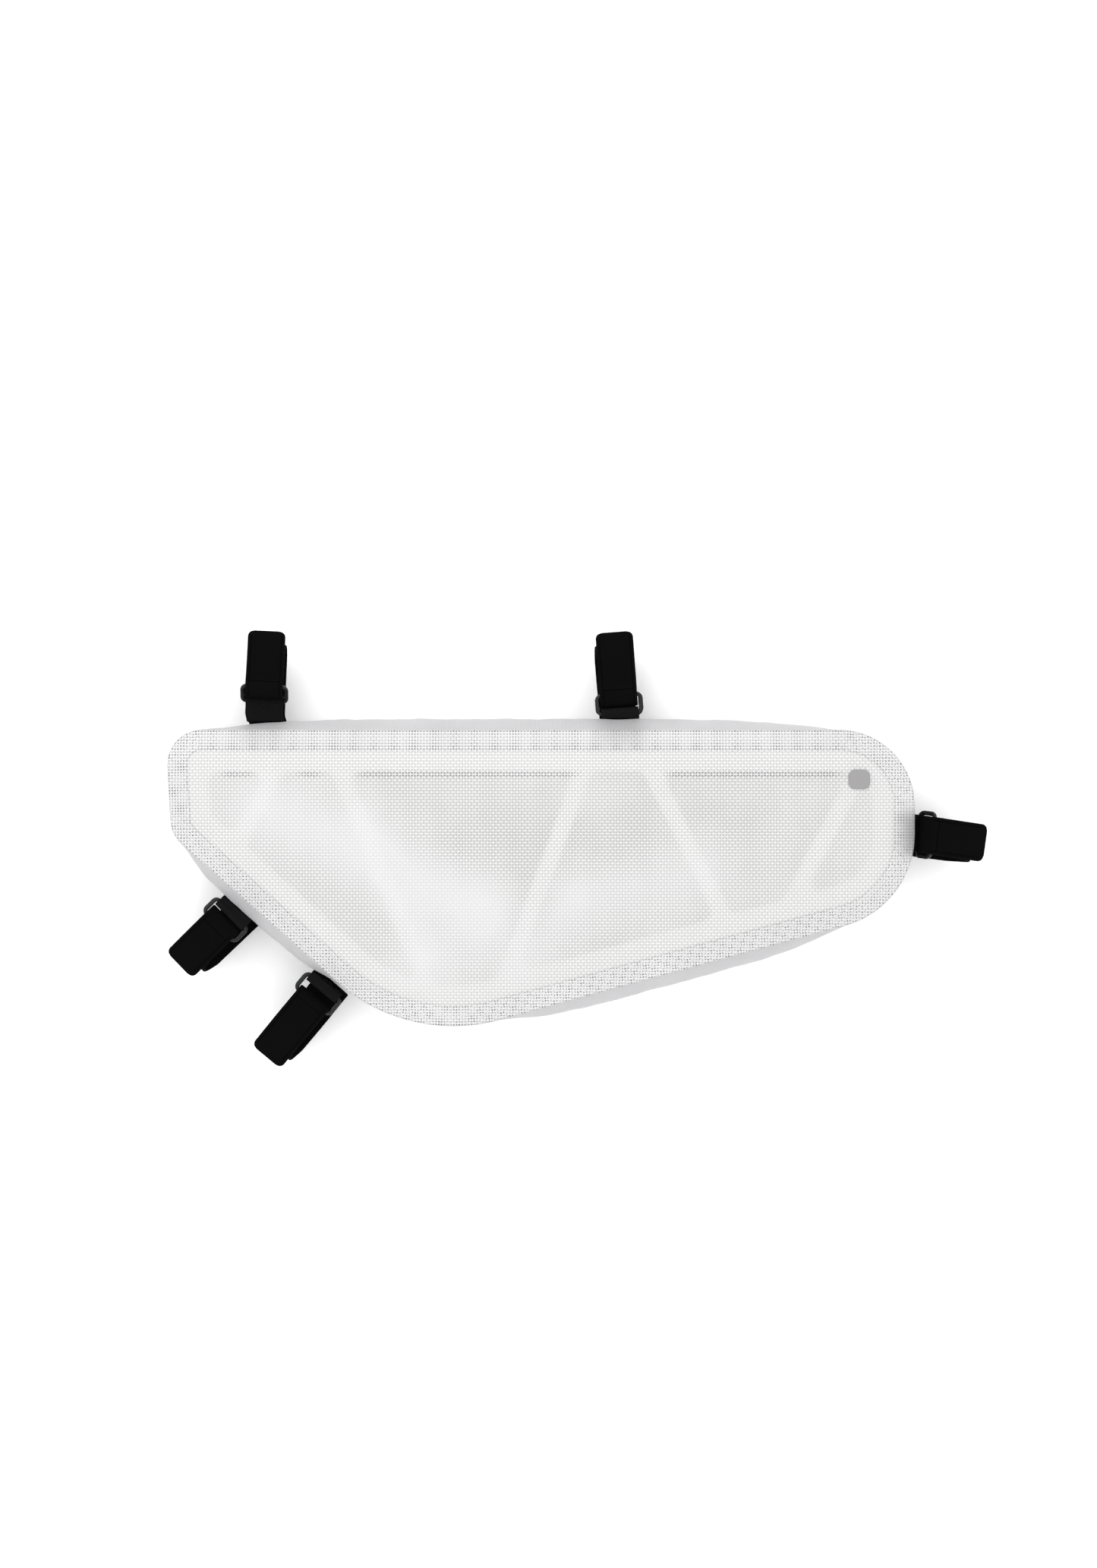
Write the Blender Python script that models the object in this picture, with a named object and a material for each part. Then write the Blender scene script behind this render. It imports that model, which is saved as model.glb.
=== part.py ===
"""Bicycle frame bag: a welded pouch of see-through coated cloth with a truss-shaped stiffener behind its
front panel, a zip in its back panel, and five hook-and-loop straps that hold it in a bicycle frame.

Metres, +Z up. The bag lies on its back panel. +X runs from its nose to its tail, +Y towards its top edge
and +Z from the back panel to the front panel. The origin is on the face that it rests on, under the middle
of the seam outline."""

import math

import bpy
import numpy as np
from mathutils import Vector
from mathutils.geometry import delaunay_2d_cdt

# Body, from seam edge to seam edge
BODY_LENGTH = 0.4925
BODY_HEIGHT = 0.1953
SEAM_DEPTH = 0.056
FRONT_CROWN = 0.005
BACK_CROWN = 0.004
CROWN_REACH = 0.040
FABRIC = 0.001
GAP = 0.0003

# Corners of the seam outline
NOSE_TOP_RADIUS = 0.023
NOSE_BOTTOM_RADIUS = 0.0225
NOSE_BOTTOM_RAKE = 0.002
NOSE_BOTTOM_LEVEL = 0.700
KEEL_RADIUS = 0.1155
KEEL_PLACE = 0.383
TAIL_BOTTOM_RADIUS = 0.0625
TAIL_BOTTOM_LEVEL = 0.647
TAIL_TOP_RADIUS = 0.0500
ARC_STEP = math.radians(14)
LONG_ARC_STEP = math.radians(6)
EDGE_STEP = 0.026

# How far the gusset bulges past the seam in the middle of each edge
NOSE_BULGE = 0.001
NOSE_SLOPE_BULGE = 0.0085
KEEL_SLOPE_BULGE = 0.0088
TAIL_BULGE = 0.0015
TOP_BULGE = 0.0075
GUSSET_BULGE = {
    "nose": NOSE_BULGE,
    "nose_slope": NOSE_SLOPE_BULGE,
    "keel_slope": KEEL_SLOPE_BULGE,
    "tail": TAIL_BULGE,
    "top": TOP_BULGE,
}
BULGE_POWER = 5
FLANGE = 0.013
# Where the faceted sheets have their rows, as shares of the web's height, the flange and the crown's reach
WEB_SHARES = (0.88, 0.70, 0.50, 0.30, 0.12)
FLANGE_SHARES = (1.0, 0.68, 0.36, 0.10)
CROWN_SHARES = (0.17, 0.36, 0.57, 0.79)

# Stiffener: a flat truss cut from sheet, just inside the welded flange
STIFFENER = 0.0015
STIFFENER_RELIEF = 0.001
RAIL = 0.0135
STRUT = 0.011
STRUT_CORNER = 0.006
# A corner is left sharp where half its angle is more than this, and its rounding takes no more of a side
STRAIGHT_HALF_ANGLE = math.radians(80)
ROUNDED_SHARE = 0.45
STRUT_HEAD_LEVEL = 0.869
# Shares of the body's length at the head and the foot of each strut, and of its height at the foot
STRUTS = (
    {"head": 0.147, "foot": 0.098, "foot_level": 0.629},
    {"head": 0.230, "foot": 0.345, "foot_level": 0.160},
    {"head": 0.558, "foot": 0.4535, "foot_level": 0.1685},
    {"head": 0.646, "foot": 0.7445, "foot_level": 0.368},
    {"head": 0.928, "foot": 0.8355, "foot_level": 0.429},
)

# Badge: a blank rounded square near the tail's top corner
BADGE_SIZE = (0.0142, 0.0129)
BADGE_RADIUS = 0.0044
BADGE_THICKNESS = 0.0005
BADGE_FROM_TAIL = 0.0369
BADGE_FROM_TOP = 0.0327

# Zip in the back panel
ZIP_FROM_TOP = 0.0405
ZIP_FROM_ENDS = 0.024
SLOT_WIDTH = 0.010
TAPE_WIDTH = 0.017
TAPE_THICKNESS = 0.0008
TAPE_LAP = 0.014
TAPE_CORNER = 0.003
GUTTER_DEPTH = 0.0021
TEETH_WIDTH = 0.005
TEETH_HEIGHT = 0.0009
SLIDER_LENGTH = 0.011
SLIDER_WIDTH = 0.0065
PULL_LENGTH = 0.022
PULL_WIDTH = 0.004
SLIDER_FROM_END = 0.004
FLOOR_CLEARANCE = 0.0004
STEP_RUN = 0.0003

# Straps, tabs and rings
STRAP_WIDTH = 0.025
STRAP_THICKNESS = 0.0018
TAB_THICKNESS = 0.0015
TIP_RADIUS = 0.004
TIP_ANGLES = np.radians((0, 30, 60, 90))
# A ring is a flat link: its bars' width and thickness, its opening, and its outer and inner corners
RING_BAR = 0.0031
RING_THICKNESS = 0.0026
RING_PLAY = 0.0004
RING_OPENING = 0.009
RING_CORNER = 0.0046
RING_EYE_CORNER = 0.0006
RING_SIDES = 8
TAB_SLACK = 0.0008
LEG_SHARE = 0.4
LEG_RADIUS = 0.0022
LOOP_DROP = 0.0185
DROOP = 0.003
BEND_RUN = 0.006
TAPER_RUN = 0.008
LEAST_TAPER = 0.0005
TAB_LENGTH = 0.0104
STRAP_REACH = 0.068
STRAP_COLUMNS = ("name", "edge", "place", "lean", "bow", "tab", "loop", "tip", "aside", "tilt", "slack")
# The edge that a strap is sewn to, the share of that edge where it sits, its lean in degrees, its sideways
# bow as a share of STRAP_WIDTH, its tab as a share of TAB_LENGTH, the ends of its loop and its tip as shares
# of STRAP_REACH, how far the loop lies to one side as a share of STRAP_WIDTH, the degrees by which the ring
# stands up, and the slack of its fold round the ring as a share of STRAP_WIDTH
STRAP_ROWS = (
    ("top_nose", "top", 0.905, -2.7, 0.055, 1.05, 0.765, 0.885, -0.01, 40, 0.20),
    ("top_tail", "top", 0.342, 4.3, 0.0, 0.225, 0.735, 0.852, 0.05, 0, 0.184),
    ("tail", "tail", 0.03, -8.0, 0.0, 0.10, 0.608, 0.708, -0.12, 50, 0.27),
    ("slope_nose", "nose_slope", 0.3975, -4.3, 0.0, 0.40, 0.695, 0.806, 0.20, 0, 0.184),
    ("slope_keel", "nose_slope", 0.965, 1.8, 0.0, 0.22, 0.840, 0.944, 0.14, 0, 0.03),
)
STRAPS = [dict(zip(STRAP_COLUMNS, row)) for row in STRAP_ROWS]

# Levels that follow from the sizes
BACK_SEAM = BACK_CROWN
FRONT_SEAM = BACK_SEAM + SEAM_DEPTH
RING_LEVEL = (BACK_SEAM + FRONT_SEAM) / 2
BAR_OFFSET = (RING_OPENING + RING_BAR) / 2
LEG_LENGTH = LEG_SHARE * (LOOP_DROP - 2 * LEG_RADIUS - RING_BAR / 2 - GAP - TAB_THICKNESS / 2)
LEFT = -BODY_LENGTH / 2
RIGHT = BODY_LENGTH / 2
BOTTOM = -BODY_HEIGHT / 2
TOP = BODY_HEIGHT / 2

for old in list(bpy.data.objects):
    bpy.data.objects.remove(old)


def material(name, colour, roughness, metallic=0.0):
    """A Principled BSDF with one plain colour."""
    made = bpy.data.materials.new(name)
    made.use_nodes = True
    shader = made.node_tree.nodes["Principled BSDF"]
    shader.inputs["Base Color"].default_value = (*colour, 1.0)
    shader.inputs["Roughness"].default_value = roughness
    shader.inputs["Metallic"].default_value = metallic
    return made


PANEL_CLOTH = material("panel_cloth", (0.84, 0.84, 0.83), 0.45)
GUSSET_CLOTH = material("gusset_cloth", (0.72, 0.72, 0.72), 0.45)
STIFFENER_SHEET = material("stiffener_sheet", (0.90, 0.90, 0.89), 0.5)
BADGE_FILM = material("badge_film", (0.28, 0.28, 0.28), 0.5)
ZIP_TAPE = material("zip_tape", (0.68, 0.68, 0.68), 0.6)
STRAP_WEBBING = material("strap_webbing", (0.006, 0.006, 0.006), 0.9)
TAB_WEBBING = material("tab_webbing", (0.008, 0.008, 0.008), 0.85)
RING_WIRE = material("ring_wire", (0.010, 0.010, 0.010), 0.3, 0.6)


def add_object(name, points, faces, finish):
    """One object from a list of points and a list of faces that point outwards."""
    mesh = bpy.data.meshes.new(name)
    mesh.from_pydata([tuple(p) for p in points], [], [tuple(f) for f in faces])
    mesh.shade_smooth()
    mesh.set_sharp_from_angle(angle=math.radians(35))
    mesh.materials.append(finish)
    made = bpy.data.objects.new(name, mesh)
    bpy.context.scene.collection.objects.link(made)
    return made


# Seam outline

CORNERS = (
    ("nose_top", LEFT + NOSE_TOP_RADIUS, TOP - NOSE_TOP_RADIUS, NOSE_TOP_RADIUS),
    (
        "nose_bottom",
        LEFT + NOSE_BOTTOM_RAKE + NOSE_BOTTOM_RADIUS,
        BOTTOM + NOSE_BOTTOM_LEVEL * BODY_HEIGHT,
        NOSE_BOTTOM_RADIUS,
    ),
    ("keel", LEFT + KEEL_PLACE * BODY_LENGTH, BOTTOM + KEEL_RADIUS, KEEL_RADIUS),
    (
        "tail_bottom",
        RIGHT - TAIL_BOTTOM_RADIUS,
        BOTTOM + TAIL_BOTTOM_LEVEL * BODY_HEIGHT,
        TAIL_BOTTOM_RADIUS,
    ),
    ("tail_top", RIGHT - TAIL_TOP_RADIUS, TOP - TAIL_TOP_RADIUS, TAIL_TOP_RADIUS),
)
EDGES = ("nose", "nose_slope", "keel_slope", "tail", "top")


def edge_normal(first, second):
    """Angle of the outward normal of the line that touches two corner circles."""
    across = second[1] - first[1]
    up = second[2] - first[2]
    return math.atan2(up, across) - math.acos((first[3] - second[3]) / math.hypot(across, up))


def edge_ends(name):
    """The two ends of a straight edge and its outward normal. Edges run anticlockwise."""
    index = EDGES.index(name)
    first = CORNERS[index]
    second = CORNERS[(index + 1) % len(CORNERS)]
    angle = edge_normal(first, second)
    normal = np.array([math.cos(angle), math.sin(angle)])
    start = np.array(first[1:3]) + first[3] * normal
    end = np.array(second[1:3]) + second[3] * normal
    return start, end, normal


def trace_seam():
    """Points, outward normals and gusset bulges once round the seam, anticlockwise."""
    points, normals, bulges = [], [], []
    for index, corner in enumerate(CORNERS):
        before = edge_normal(CORNERS[index - 1], corner)
        after = edge_normal(corner, CORNERS[(index + 1) % len(CORNERS)])
        turn = (after - before) % math.tau
        wanted = LONG_ARC_STEP if corner[0] == "keel" else ARC_STEP
        steps = max(2, math.ceil(turn / wanted))
        for step in range(steps):
            angle = before + turn * step / steps
            normal = np.array([math.cos(angle), math.sin(angle)])
            points.append(np.array(corner[1:3]) + corner[3] * normal)
            normals.append(normal)
            bulges.append(0.0)
        start, end, normal = edge_ends(EDGES[index])
        steps = max(2, math.ceil(np.linalg.norm(end - start) / EDGE_STEP))
        for step in range(steps):
            share = step / steps
            points.append(start + (end - start) * share)
            normals.append(normal)
            bulges.append(GUSSET_BULGE[EDGES[index]] * (1 - abs(2 * share - 1) ** BULGE_POWER))
    bulges = np.array(bulges)
    eased = (np.roll(bulges, 1) + 2 * bulges + np.roll(bulges, -1)) / 4
    return np.array(points), np.array(normals), eased


SEAM, SEAM_NORMALS, SEAM_BULGE = trace_seam()


def seam_depth(points):
    """Distance of each point in from the seam: the least of its distances to the seam's tangent lines."""
    points = np.atleast_2d(points)
    reach = (SEAM * SEAM_NORMALS).sum(axis=1)
    return (reach[None, :] - points @ SEAM_NORMALS.T).min(axis=1)


def crown_share(depth):
    """A panel's rise, from 0 at the seam to 1 where it turns flat: a parabola."""
    across = np.clip(depth / CROWN_REACH, 0, 1)
    return 1 - (1 - across) ** 2


def front_face(points):
    """Height of the front panel's outer face."""
    return FRONT_SEAM + FRONT_CROWN * crown_share(seam_depth(points))


def back_face(points):
    """Height of the back panel's outer face, which is flat on the ground in the middle."""
    return BACK_SEAM - BACK_CROWN * crown_share(seam_depth(points))


def seam_ring(depth):
    """The seam moved in by depth, without the points that cross over in the tight corners."""
    moved = SEAM - depth * SEAM_NORMALS
    return moved[seam_depth(moved) > depth - GAP]


def clip(loop, point, normal):
    """The part of a convex loop on the inner side of a line, whose normal points out."""
    kept = []
    for here, after in zip(loop, np.roll(loop, -1, axis=0)):
        level, next_level = (here - point) @ normal, (after - point) @ normal
        if level <= 0:
            kept.append(here)
        if level * next_level < 0:
            kept.append(here + (after - here) * level / (level - next_level))
    return np.array(kept)


def inner_region(depth):
    """All that lies at least depth in from the seam."""
    loop = np.array([(LEFT, BOTTOM), (RIGHT, BOTTOM), (RIGHT, TOP), (LEFT, TOP)])
    for point, normal in zip(SEAM, SEAM_NORMALS):
        loop = clip(loop, point - depth * normal, normal)
    return loop


# Sheets cut to an outline and laid on a curved face

def inside(points, loop):
    """True for each point inside a closed loop, by counting the edges that it has to its right."""
    after = np.roll(loop, -1, axis=0)
    x, y = points[:, 0:1], points[:, 1:2]
    spans = (loop[:, 1] > y) != (after[:, 1] > y)
    rise = np.where(after[:, 1] == loop[:, 1], 1.0, after[:, 1] - loop[:, 1])
    crossing = loop[:, 0] + (y - loop[:, 1]) * (after[:, 0] - loop[:, 0]) / rise
    return (spans & (x < crossing)).sum(axis=1) % 2 == 1


def add_sheet(name, outline, holes, lines, extra, top, bottom, finish):
    """A sheet with holes, between two heights worked out at each of its points.
    lines are open runs of points that the sheet's edges follow, such as both sides of a step."""
    points, edges = [], []
    for run, closed in [(loop, True) for loop in (outline, *holes)] + [(line, False) for line in lines]:
        first = len(points)
        points.extend(Vector(p) for p in run)
        edges.extend((first + i, first + i + 1) for i in range(len(run) - 1))
        if closed:
            edges.append((first + len(run) - 1, first))
    points.extend(Vector(p) for p in extra)
    flat, _, triangles, *_ = delaunay_2d_cdt(points, edges, [], 1, 1e-6)
    flat = np.array([tuple(p) for p in flat])
    triangles = np.array([tuple(t) for t in triangles])
    middles = flat[triangles].mean(axis=1)
    kept = inside(middles, np.asarray(outline))
    for hole in holes:
        kept &= ~inside(middles, np.asarray(hole))
    triangles = triangles[kept]
    used, index = np.unique(triangles, return_inverse=True)
    flat, triangles = flat[used], index.reshape(-1, 3)
    a, b, c = (flat[triangles[:, i]] for i in range(3))
    area = (b[:, 0] - a[:, 0]) * (c[:, 1] - a[:, 1]) - (b[:, 1] - a[:, 1]) * (c[:, 0] - a[:, 0])
    triangles[area < 0] = triangles[area < 0][:, ::-1]
    count = len(flat)
    rims = {}
    for triangle in triangles:
        for i in range(3):
            pair = (int(triangle[i]), int(triangle[(i + 1) % 3]))
            if (pair[1], pair[0]) in rims:
                del rims[pair[1], pair[0]]
            else:
                rims[pair] = True
    faces = [tuple(int(i) for i in t) for t in triangles]
    faces += [tuple(int(i) + count for i in t[::-1]) for t in triangles]
    faces += [(second, first, first + count, second + count) for first, second in rims]
    solid = [(*p, h) for p, h in zip(flat, top(flat))]
    solid += [(*p, h) for p, h in zip(flat, bottom(flat))]
    return add_object(name, solid, faces, finish)


def panel_points(keep_out=None):
    """Points inside a panel: rings that follow its crown, and a wide grid on its flat middle."""
    rings = [seam_ring(CROWN_REACH * share) for share in CROWN_SHARES]
    step = CROWN_REACH
    columns = np.arange(LEFT, RIGHT, step)
    rows = np.arange(BOTTOM, TOP, step)
    grid = np.array([(x, y) for y in rows for x in columns])
    rings.append(grid[seam_depth(grid) > CROWN_REACH])
    points = np.concatenate(rings)
    if keep_out is not None:
        points = points[~inside(points, np.asarray(keep_out))]
    return points


def rounded_box(centre, width, height, radius, steps=3):
    """A rectangle with round corners, anticlockwise."""
    points = []
    for quarter, (side, up) in enumerate(((1, 1), (-1, 1), (-1, -1), (1, -1))):
        corner = (centre[0] + side * (width / 2 - radius), centre[1] + up * (height / 2 - radius))
        for step in range(steps + 1):
            angle = math.pi / 2 * (quarter + step / steps)
            points.append((corner[0] + radius * math.cos(angle), corner[1] + radius * math.sin(angle)))
    return np.array(points)


# Front panel, one sheet of see-through cloth

add_sheet(
    "front_panel",
    SEAM,
    [],
    [],
    panel_points(),
    front_face,
    lambda p: front_face(p) - FABRIC,
    PANEL_CLOTH,
)

# Zip place, in the back panel below the top edge

ZIP_Y = TOP - ZIP_FROM_TOP


def seam_span(y):
    """The seam's lowest and highest x at a height y."""
    after = np.roll(SEAM, -1, axis=0)
    crosses = (SEAM[:, 1] - y) * (after[:, 1] - y) < 0
    a, b = SEAM[crosses], after[crosses]
    x = a[:, 0] + (y - a[:, 1]) * (b[:, 0] - a[:, 0]) / (b[:, 1] - a[:, 1])
    return x.min(), x.max()


SLOT_START = seam_span(ZIP_Y)[0] + ZIP_FROM_ENDS
SLOT_END = seam_span(ZIP_Y)[1] - ZIP_FROM_ENDS
ZIP_X = (SLOT_START + SLOT_END) / 2
SLOT_LENGTH = SLOT_END - SLOT_START


def zip_outline(length, width, radius):
    """A long rounded box round the zip's line, with points along its long sides."""
    box = rounded_box((ZIP_X, ZIP_Y), length, width, radius)
    count = max(2, round(length / EDGE_STEP))
    run = np.linspace(-length / 2 + radius, length / 2 - radius, count + 1)[1:-1] + ZIP_X
    quarter = len(box) // 4
    upper = np.array([(x, ZIP_Y + width / 2) for x in run[::-1]])
    lower = np.array([(x, ZIP_Y - width / 2) for x in run])
    return np.concatenate([box[:quarter], upper, box[quarter : 3 * quarter], lower, box[3 * quarter :]])


SLOT = zip_outline(SLOT_LENGTH, SLOT_WIDTH, SLOT_WIDTH / 2 - GAP)
SLOT_ZONE = rounded_box((ZIP_X, ZIP_Y), SLOT_LENGTH + SLOT_WIDTH, 2 * SLOT_WIDTH, SLOT_WIDTH / 2)
add_sheet(
    "back_panel",
    SEAM,
    [SLOT],
    [],
    panel_points(SLOT_ZONE),
    lambda p: back_face(p) + FABRIC,
    back_face,
    PANEL_CLOTH,
)


# Zip: a tape that lies against the panel's inner face and dips in a gutter to its teeth and slider

TAPE_LENGTH = SLOT_LENGTH + 2 * TAPE_LAP
SLIDER_X = SLOT_END - SLIDER_FROM_END - SLIDER_LENGTH / 2
PULL_X = SLIDER_X - SLIDER_LENGTH / 2 - PULL_LENGTH / 2 + STEP_RUN
GUTTER_WIDTH = SLOT_WIDTH - 2 * TAPE_THICKNESS


def in_box(points, centre, width, height):
    """True for each point in an upright box, its edges included."""
    near = np.abs(points - np.array(centre)) <= np.array([width, height]) / 2 + STEP_RUN / 4
    return near.all(axis=1)


def tape_level(points):
    """Height of the tape's lower face: close to the panel at its edges, and higher in the gutter."""
    seat = back_face(points) + FABRIC + GAP
    across = np.abs(points[:, 1] - ZIP_Y)
    along = SLOT_LENGTH / 2 - np.abs(points[:, 0] - ZIP_X)
    slope = (SLOT_WIDTH - GUTTER_WIDTH) / 2 + STEP_RUN
    side = np.clip((SLOT_WIDTH / 2 - across) / slope, 0, 1)
    end = np.clip(along / slope, 0, 1)
    return seat + GUTTER_DEPTH * np.minimum(side, end)


def zip_underside(points):
    """The tape's lower face with the teeth, the slider and its pull standing out of it."""
    level = tape_level(points)
    teeth = in_box(points, (ZIP_X, ZIP_Y), SLOT_LENGTH - 2 * SLOT_WIDTH, TEETH_WIDTH)
    pull = in_box(points, (PULL_X, ZIP_Y), PULL_LENGTH, PULL_WIDTH)
    slider = in_box(points, (SLIDER_X, ZIP_Y), SLIDER_LENGTH, SLIDER_WIDTH)
    level = np.where(teeth, level - TEETH_HEIGHT, level)
    level = np.where(pull, back_face(points) + 2 * FLOOR_CLEARANCE, level)
    return np.where(slider, back_face(points) + FLOOR_CLEARANCE, level)


def stepped_box(centre, width, height):
    """Both loops of a step round a box: its own edge and the foot just outside."""
    corners = ((-1, -1), (1, -1), (1, 1), (-1, 1), (-1, -1))
    loops = []
    for grow in (0.0, STEP_RUN):
        half = (width / 2 + grow, height / 2 + grow)
        loops.append([(centre[0] + a * half[0], centre[1] + b * half[1]) for a, b in corners])
    return loops


def gutter_lines():
    """Runs of points along the gutter's shoulder and its foot, on both sides of the tape's middle."""
    count = max(2, round(SLOT_LENGTH / EDGE_STEP))
    run = np.linspace(-0.5, 0.5, count + 1)
    lines = []
    for width, length in ((SLOT_WIDTH, SLOT_LENGTH), (GUTTER_WIDTH - STEP_RUN, SLOT_LENGTH - SLOT_WIDTH)):
        for side in (-1, 1):
            lines.append([(ZIP_X + share * length, ZIP_Y + side * width / 2) for share in run])
    return lines


tape = zip_outline(TAPE_LENGTH, TAPE_WIDTH, TAPE_CORNER)
for point, normal in zip(SEAM, SEAM_NORMALS):
    tape = clip(tape, point - (FLANGE + STIFFENER_RELIEF) * normal, normal)
add_sheet(
    "zip",
    tape,
    [],
    [
        *gutter_lines(),
        *stepped_box((ZIP_X, ZIP_Y), SLOT_LENGTH - 2 * SLOT_WIDTH, TEETH_WIDTH),
        *stepped_box((PULL_X, ZIP_Y), PULL_LENGTH, PULL_WIDTH),
        *stepped_box((SLIDER_X, ZIP_Y), SLIDER_LENGTH, SLIDER_WIDTH),
    ],
    [],
    lambda p: tape_level(p) + TAPE_THICKNESS,
    zip_underside,
    ZIP_TAPE,
)


# Gusset: the side wall all round, with a flange turned in behind each panel

def gusset_section(bulge):
    """Outer face of the gusset as (outwards, height) pairs, from the front flange round to the back one."""
    under = FABRIC + GAP
    flange = [share * FLANGE for share in FLANGE_SHARES]
    section = [(-d, FRONT_SEAM + FRONT_CROWN * crown_share(d) - under) for d in flange]
    high = FRONT_SEAM - under - FABRIC
    low = BACK_SEAM + under + FABRIC
    section.append((0.0, high))
    for share in WEB_SHARES:
        section.append((bulge * 4 * share * (1 - share), low + (high - low) * share))
    section.append((0.0, low))
    section += [(-d, BACK_SEAM - BACK_CROWN * crown_share(d) + under) for d in reversed(flange)]
    return np.array(section)


def thicken(line, thickness):
    """The line moved to its left by thickness, square to its direction at each point."""
    run = np.gradient(line, axis=0)
    run /= np.linalg.norm(run, axis=1)[:, None]
    return line + thickness * np.stack([run[:, 1], -run[:, 0]], axis=1)


def add_gusset():
    """One closed ring of cloth: each seam point has a section, its outer face and then its inner one."""
    sections = []
    for bulge in SEAM_BULGE:
        outer = gusset_section(bulge)
        sections.append(np.concatenate([outer, thicken(outer, FABRIC)[::-1]]))
    sections = np.array(sections)
    around, ring = sections.shape[:2]
    points = np.empty((around, ring, 3))
    points[:, :, :2] = SEAM[:, None, :] + SEAM_NORMALS[:, None, :] * sections[:, :, :1]
    points[:, :, 2] = sections[:, :, 1]
    faces = []
    for i in range(around):
        after = (i + 1) % around
        for j in range(ring):
            beyond = (j + 1) % ring
            faces.append((i * ring + j, i * ring + beyond, after * ring + beyond, after * ring + j))
    return add_object("gusset", points.reshape(-1, 3), faces, GUSSET_CLOTH)


add_gusset()


# Stiffener: the truss that shows through the front panel

def simplified(loop, least):
    """The loop without points closer than least to the one before."""
    kept = [loop[0]]
    for point in loop[1:]:
        if np.linalg.norm(point - kept[-1]) > least:
            kept.append(point)
    if np.linalg.norm(kept[-1] - kept[0]) < least:
        kept.pop()
    return np.array(kept)


def filleted(loop, radius, steps=4):
    """A convex loop with each sharp corner made round."""
    made = []
    for before, here, after in zip(np.roll(loop, 1, axis=0), loop, np.roll(loop, -1, axis=0)):
        back, ahead = before - here, after - here
        reach_back, reach_ahead = np.linalg.norm(back), np.linalg.norm(ahead)
        back, ahead = back / reach_back, ahead / reach_ahead
        half = math.acos(np.clip(back @ ahead, -1, 1)) / 2
        if half > STRAIGHT_HALF_ANGLE:
            made.append(here)
            continue
        set_back = min(radius / math.tan(half), ROUNDED_SHARE * min(reach_back, reach_ahead))
        size = set_back * math.tan(half)
        middle = (back + ahead) / np.linalg.norm(back + ahead)
        centre = here + middle * size / math.sin(half)
        first = here + back * set_back - centre
        turn = math.pi - 2 * half
        for step in range(steps + 1):
            angle = turn * step / steps
            made.append(
                centre
                + np.array(
                    [
                        first[0] * math.cos(angle) - first[1] * math.sin(angle),
                        first[0] * math.sin(angle) + first[1] * math.cos(angle),
                    ]
                )
            )
    return np.array(made)


def divided(loop, longest):
    """The loop with points added so that no side is longer than longest."""
    made = []
    for here, after in zip(loop, np.roll(loop, -1, axis=0)):
        count = max(1, math.ceil(np.linalg.norm(after - here) / longest))
        made += [here + (after - here) * step / count for step in range(count)]
    return np.array(made)


def strut_lines():
    """A point and a unit normal, towards the tail, for each strut's middle line."""
    lines = []
    for strut in STRUTS:
        head = np.array([LEFT + strut["head"] * BODY_LENGTH, BOTTOM + STRUT_HEAD_LEVEL * BODY_HEIGHT])
        foot = np.array([LEFT + strut["foot"] * BODY_LENGTH, BOTTOM + strut["foot_level"] * BODY_HEIGHT])
        run = (head - foot) / np.linalg.norm(head - foot)
        lines.append((foot, np.array([run[1], -run[0]])))
    return lines


def stiffener_holes():
    """The windows between the struts, from the nose to the tail."""
    region = inner_region(FLANGE + STIFFENER_RELIEF + RAIL)
    lines = strut_lines()
    holes = []
    for index in range(len(lines) + 1):
        hole = region
        if index > 0:
            point, normal = lines[index - 1]
            hole = clip(hole, point + normal * STRUT / 2, -normal)
        if index < len(lines):
            point, normal = lines[index]
            hole = clip(hole, point - normal * STRUT / 2, normal)
        hole = filleted(simplified(hole, STRUT_CORNER / 2), STRUT_CORNER)
        holes.append(divided(hole, EDGE_STEP))
    return holes


STIFFENER_TOP = FABRIC + GAP
add_sheet(
    "front_stiffener",
    seam_ring(FLANGE + STIFFENER_RELIEF),
    stiffener_holes(),
    [],
    [],
    lambda p: front_face(p) - STIFFENER_TOP,
    lambda p: front_face(p) - STIFFENER_TOP - STIFFENER,
    STIFFENER_SHEET,
)


# Badge on the front panel

BADGE_PLACE = (RIGHT - BADGE_FROM_TAIL, TOP - BADGE_FROM_TOP)
add_sheet(
    "badge",
    rounded_box(BADGE_PLACE, *BADGE_SIZE, BADGE_RADIUS),
    [],
    [],
    [],
    lambda p: front_face(p) + GAP + BADGE_THICKNESS,
    lambda p: front_face(p) + GAP,
    BADGE_FILM,
)


# Straps. Each is laid out in its own frame: u out from the gusset, v along the seam, w up.

def arc(centre, radius, start, end, steps):
    """Points on an arc in the u-w plane, angles in degrees from +u towards +w."""
    angles = np.radians(np.linspace(start, end, steps + 1))
    return [(centre[0] + radius * math.cos(a), centre[1] + radius * math.sin(a)) for a in angles]


def ease(start, end, steps):
    """Points of an S-shaped run between two levels, both ends left out."""
    made = []
    for step in range(1, steps):
        share = step / steps
        lift = share * share * (3 - 2 * share)
        made.append((start[0] + (end[0] - start[0]) * share, start[1] + (end[1] - start[1]) * lift))
    return made


def run_line(start, end, steps):
    """Points of a straight run, its start left out and its end kept."""
    return [
        (start[0] + (end[0] - start[0]) * step / steps, start[1] + (end[1] - start[1]) * step / steps)
        for step in range(1, steps + 1)
    ]


def web_face(bulge, level):
    """How far out the gusset's web stands at a height."""
    share = (level - BACK_SEAM) / SEAM_DEPTH
    return bulge * 4 * share * (1 - share)


def ring_distance(strap):
    """How far out from the gusset the ring's middle lies."""
    return RING_OPENING / 2 + RING_BAR + strap["tab"] * TAB_LENGTH


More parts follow.
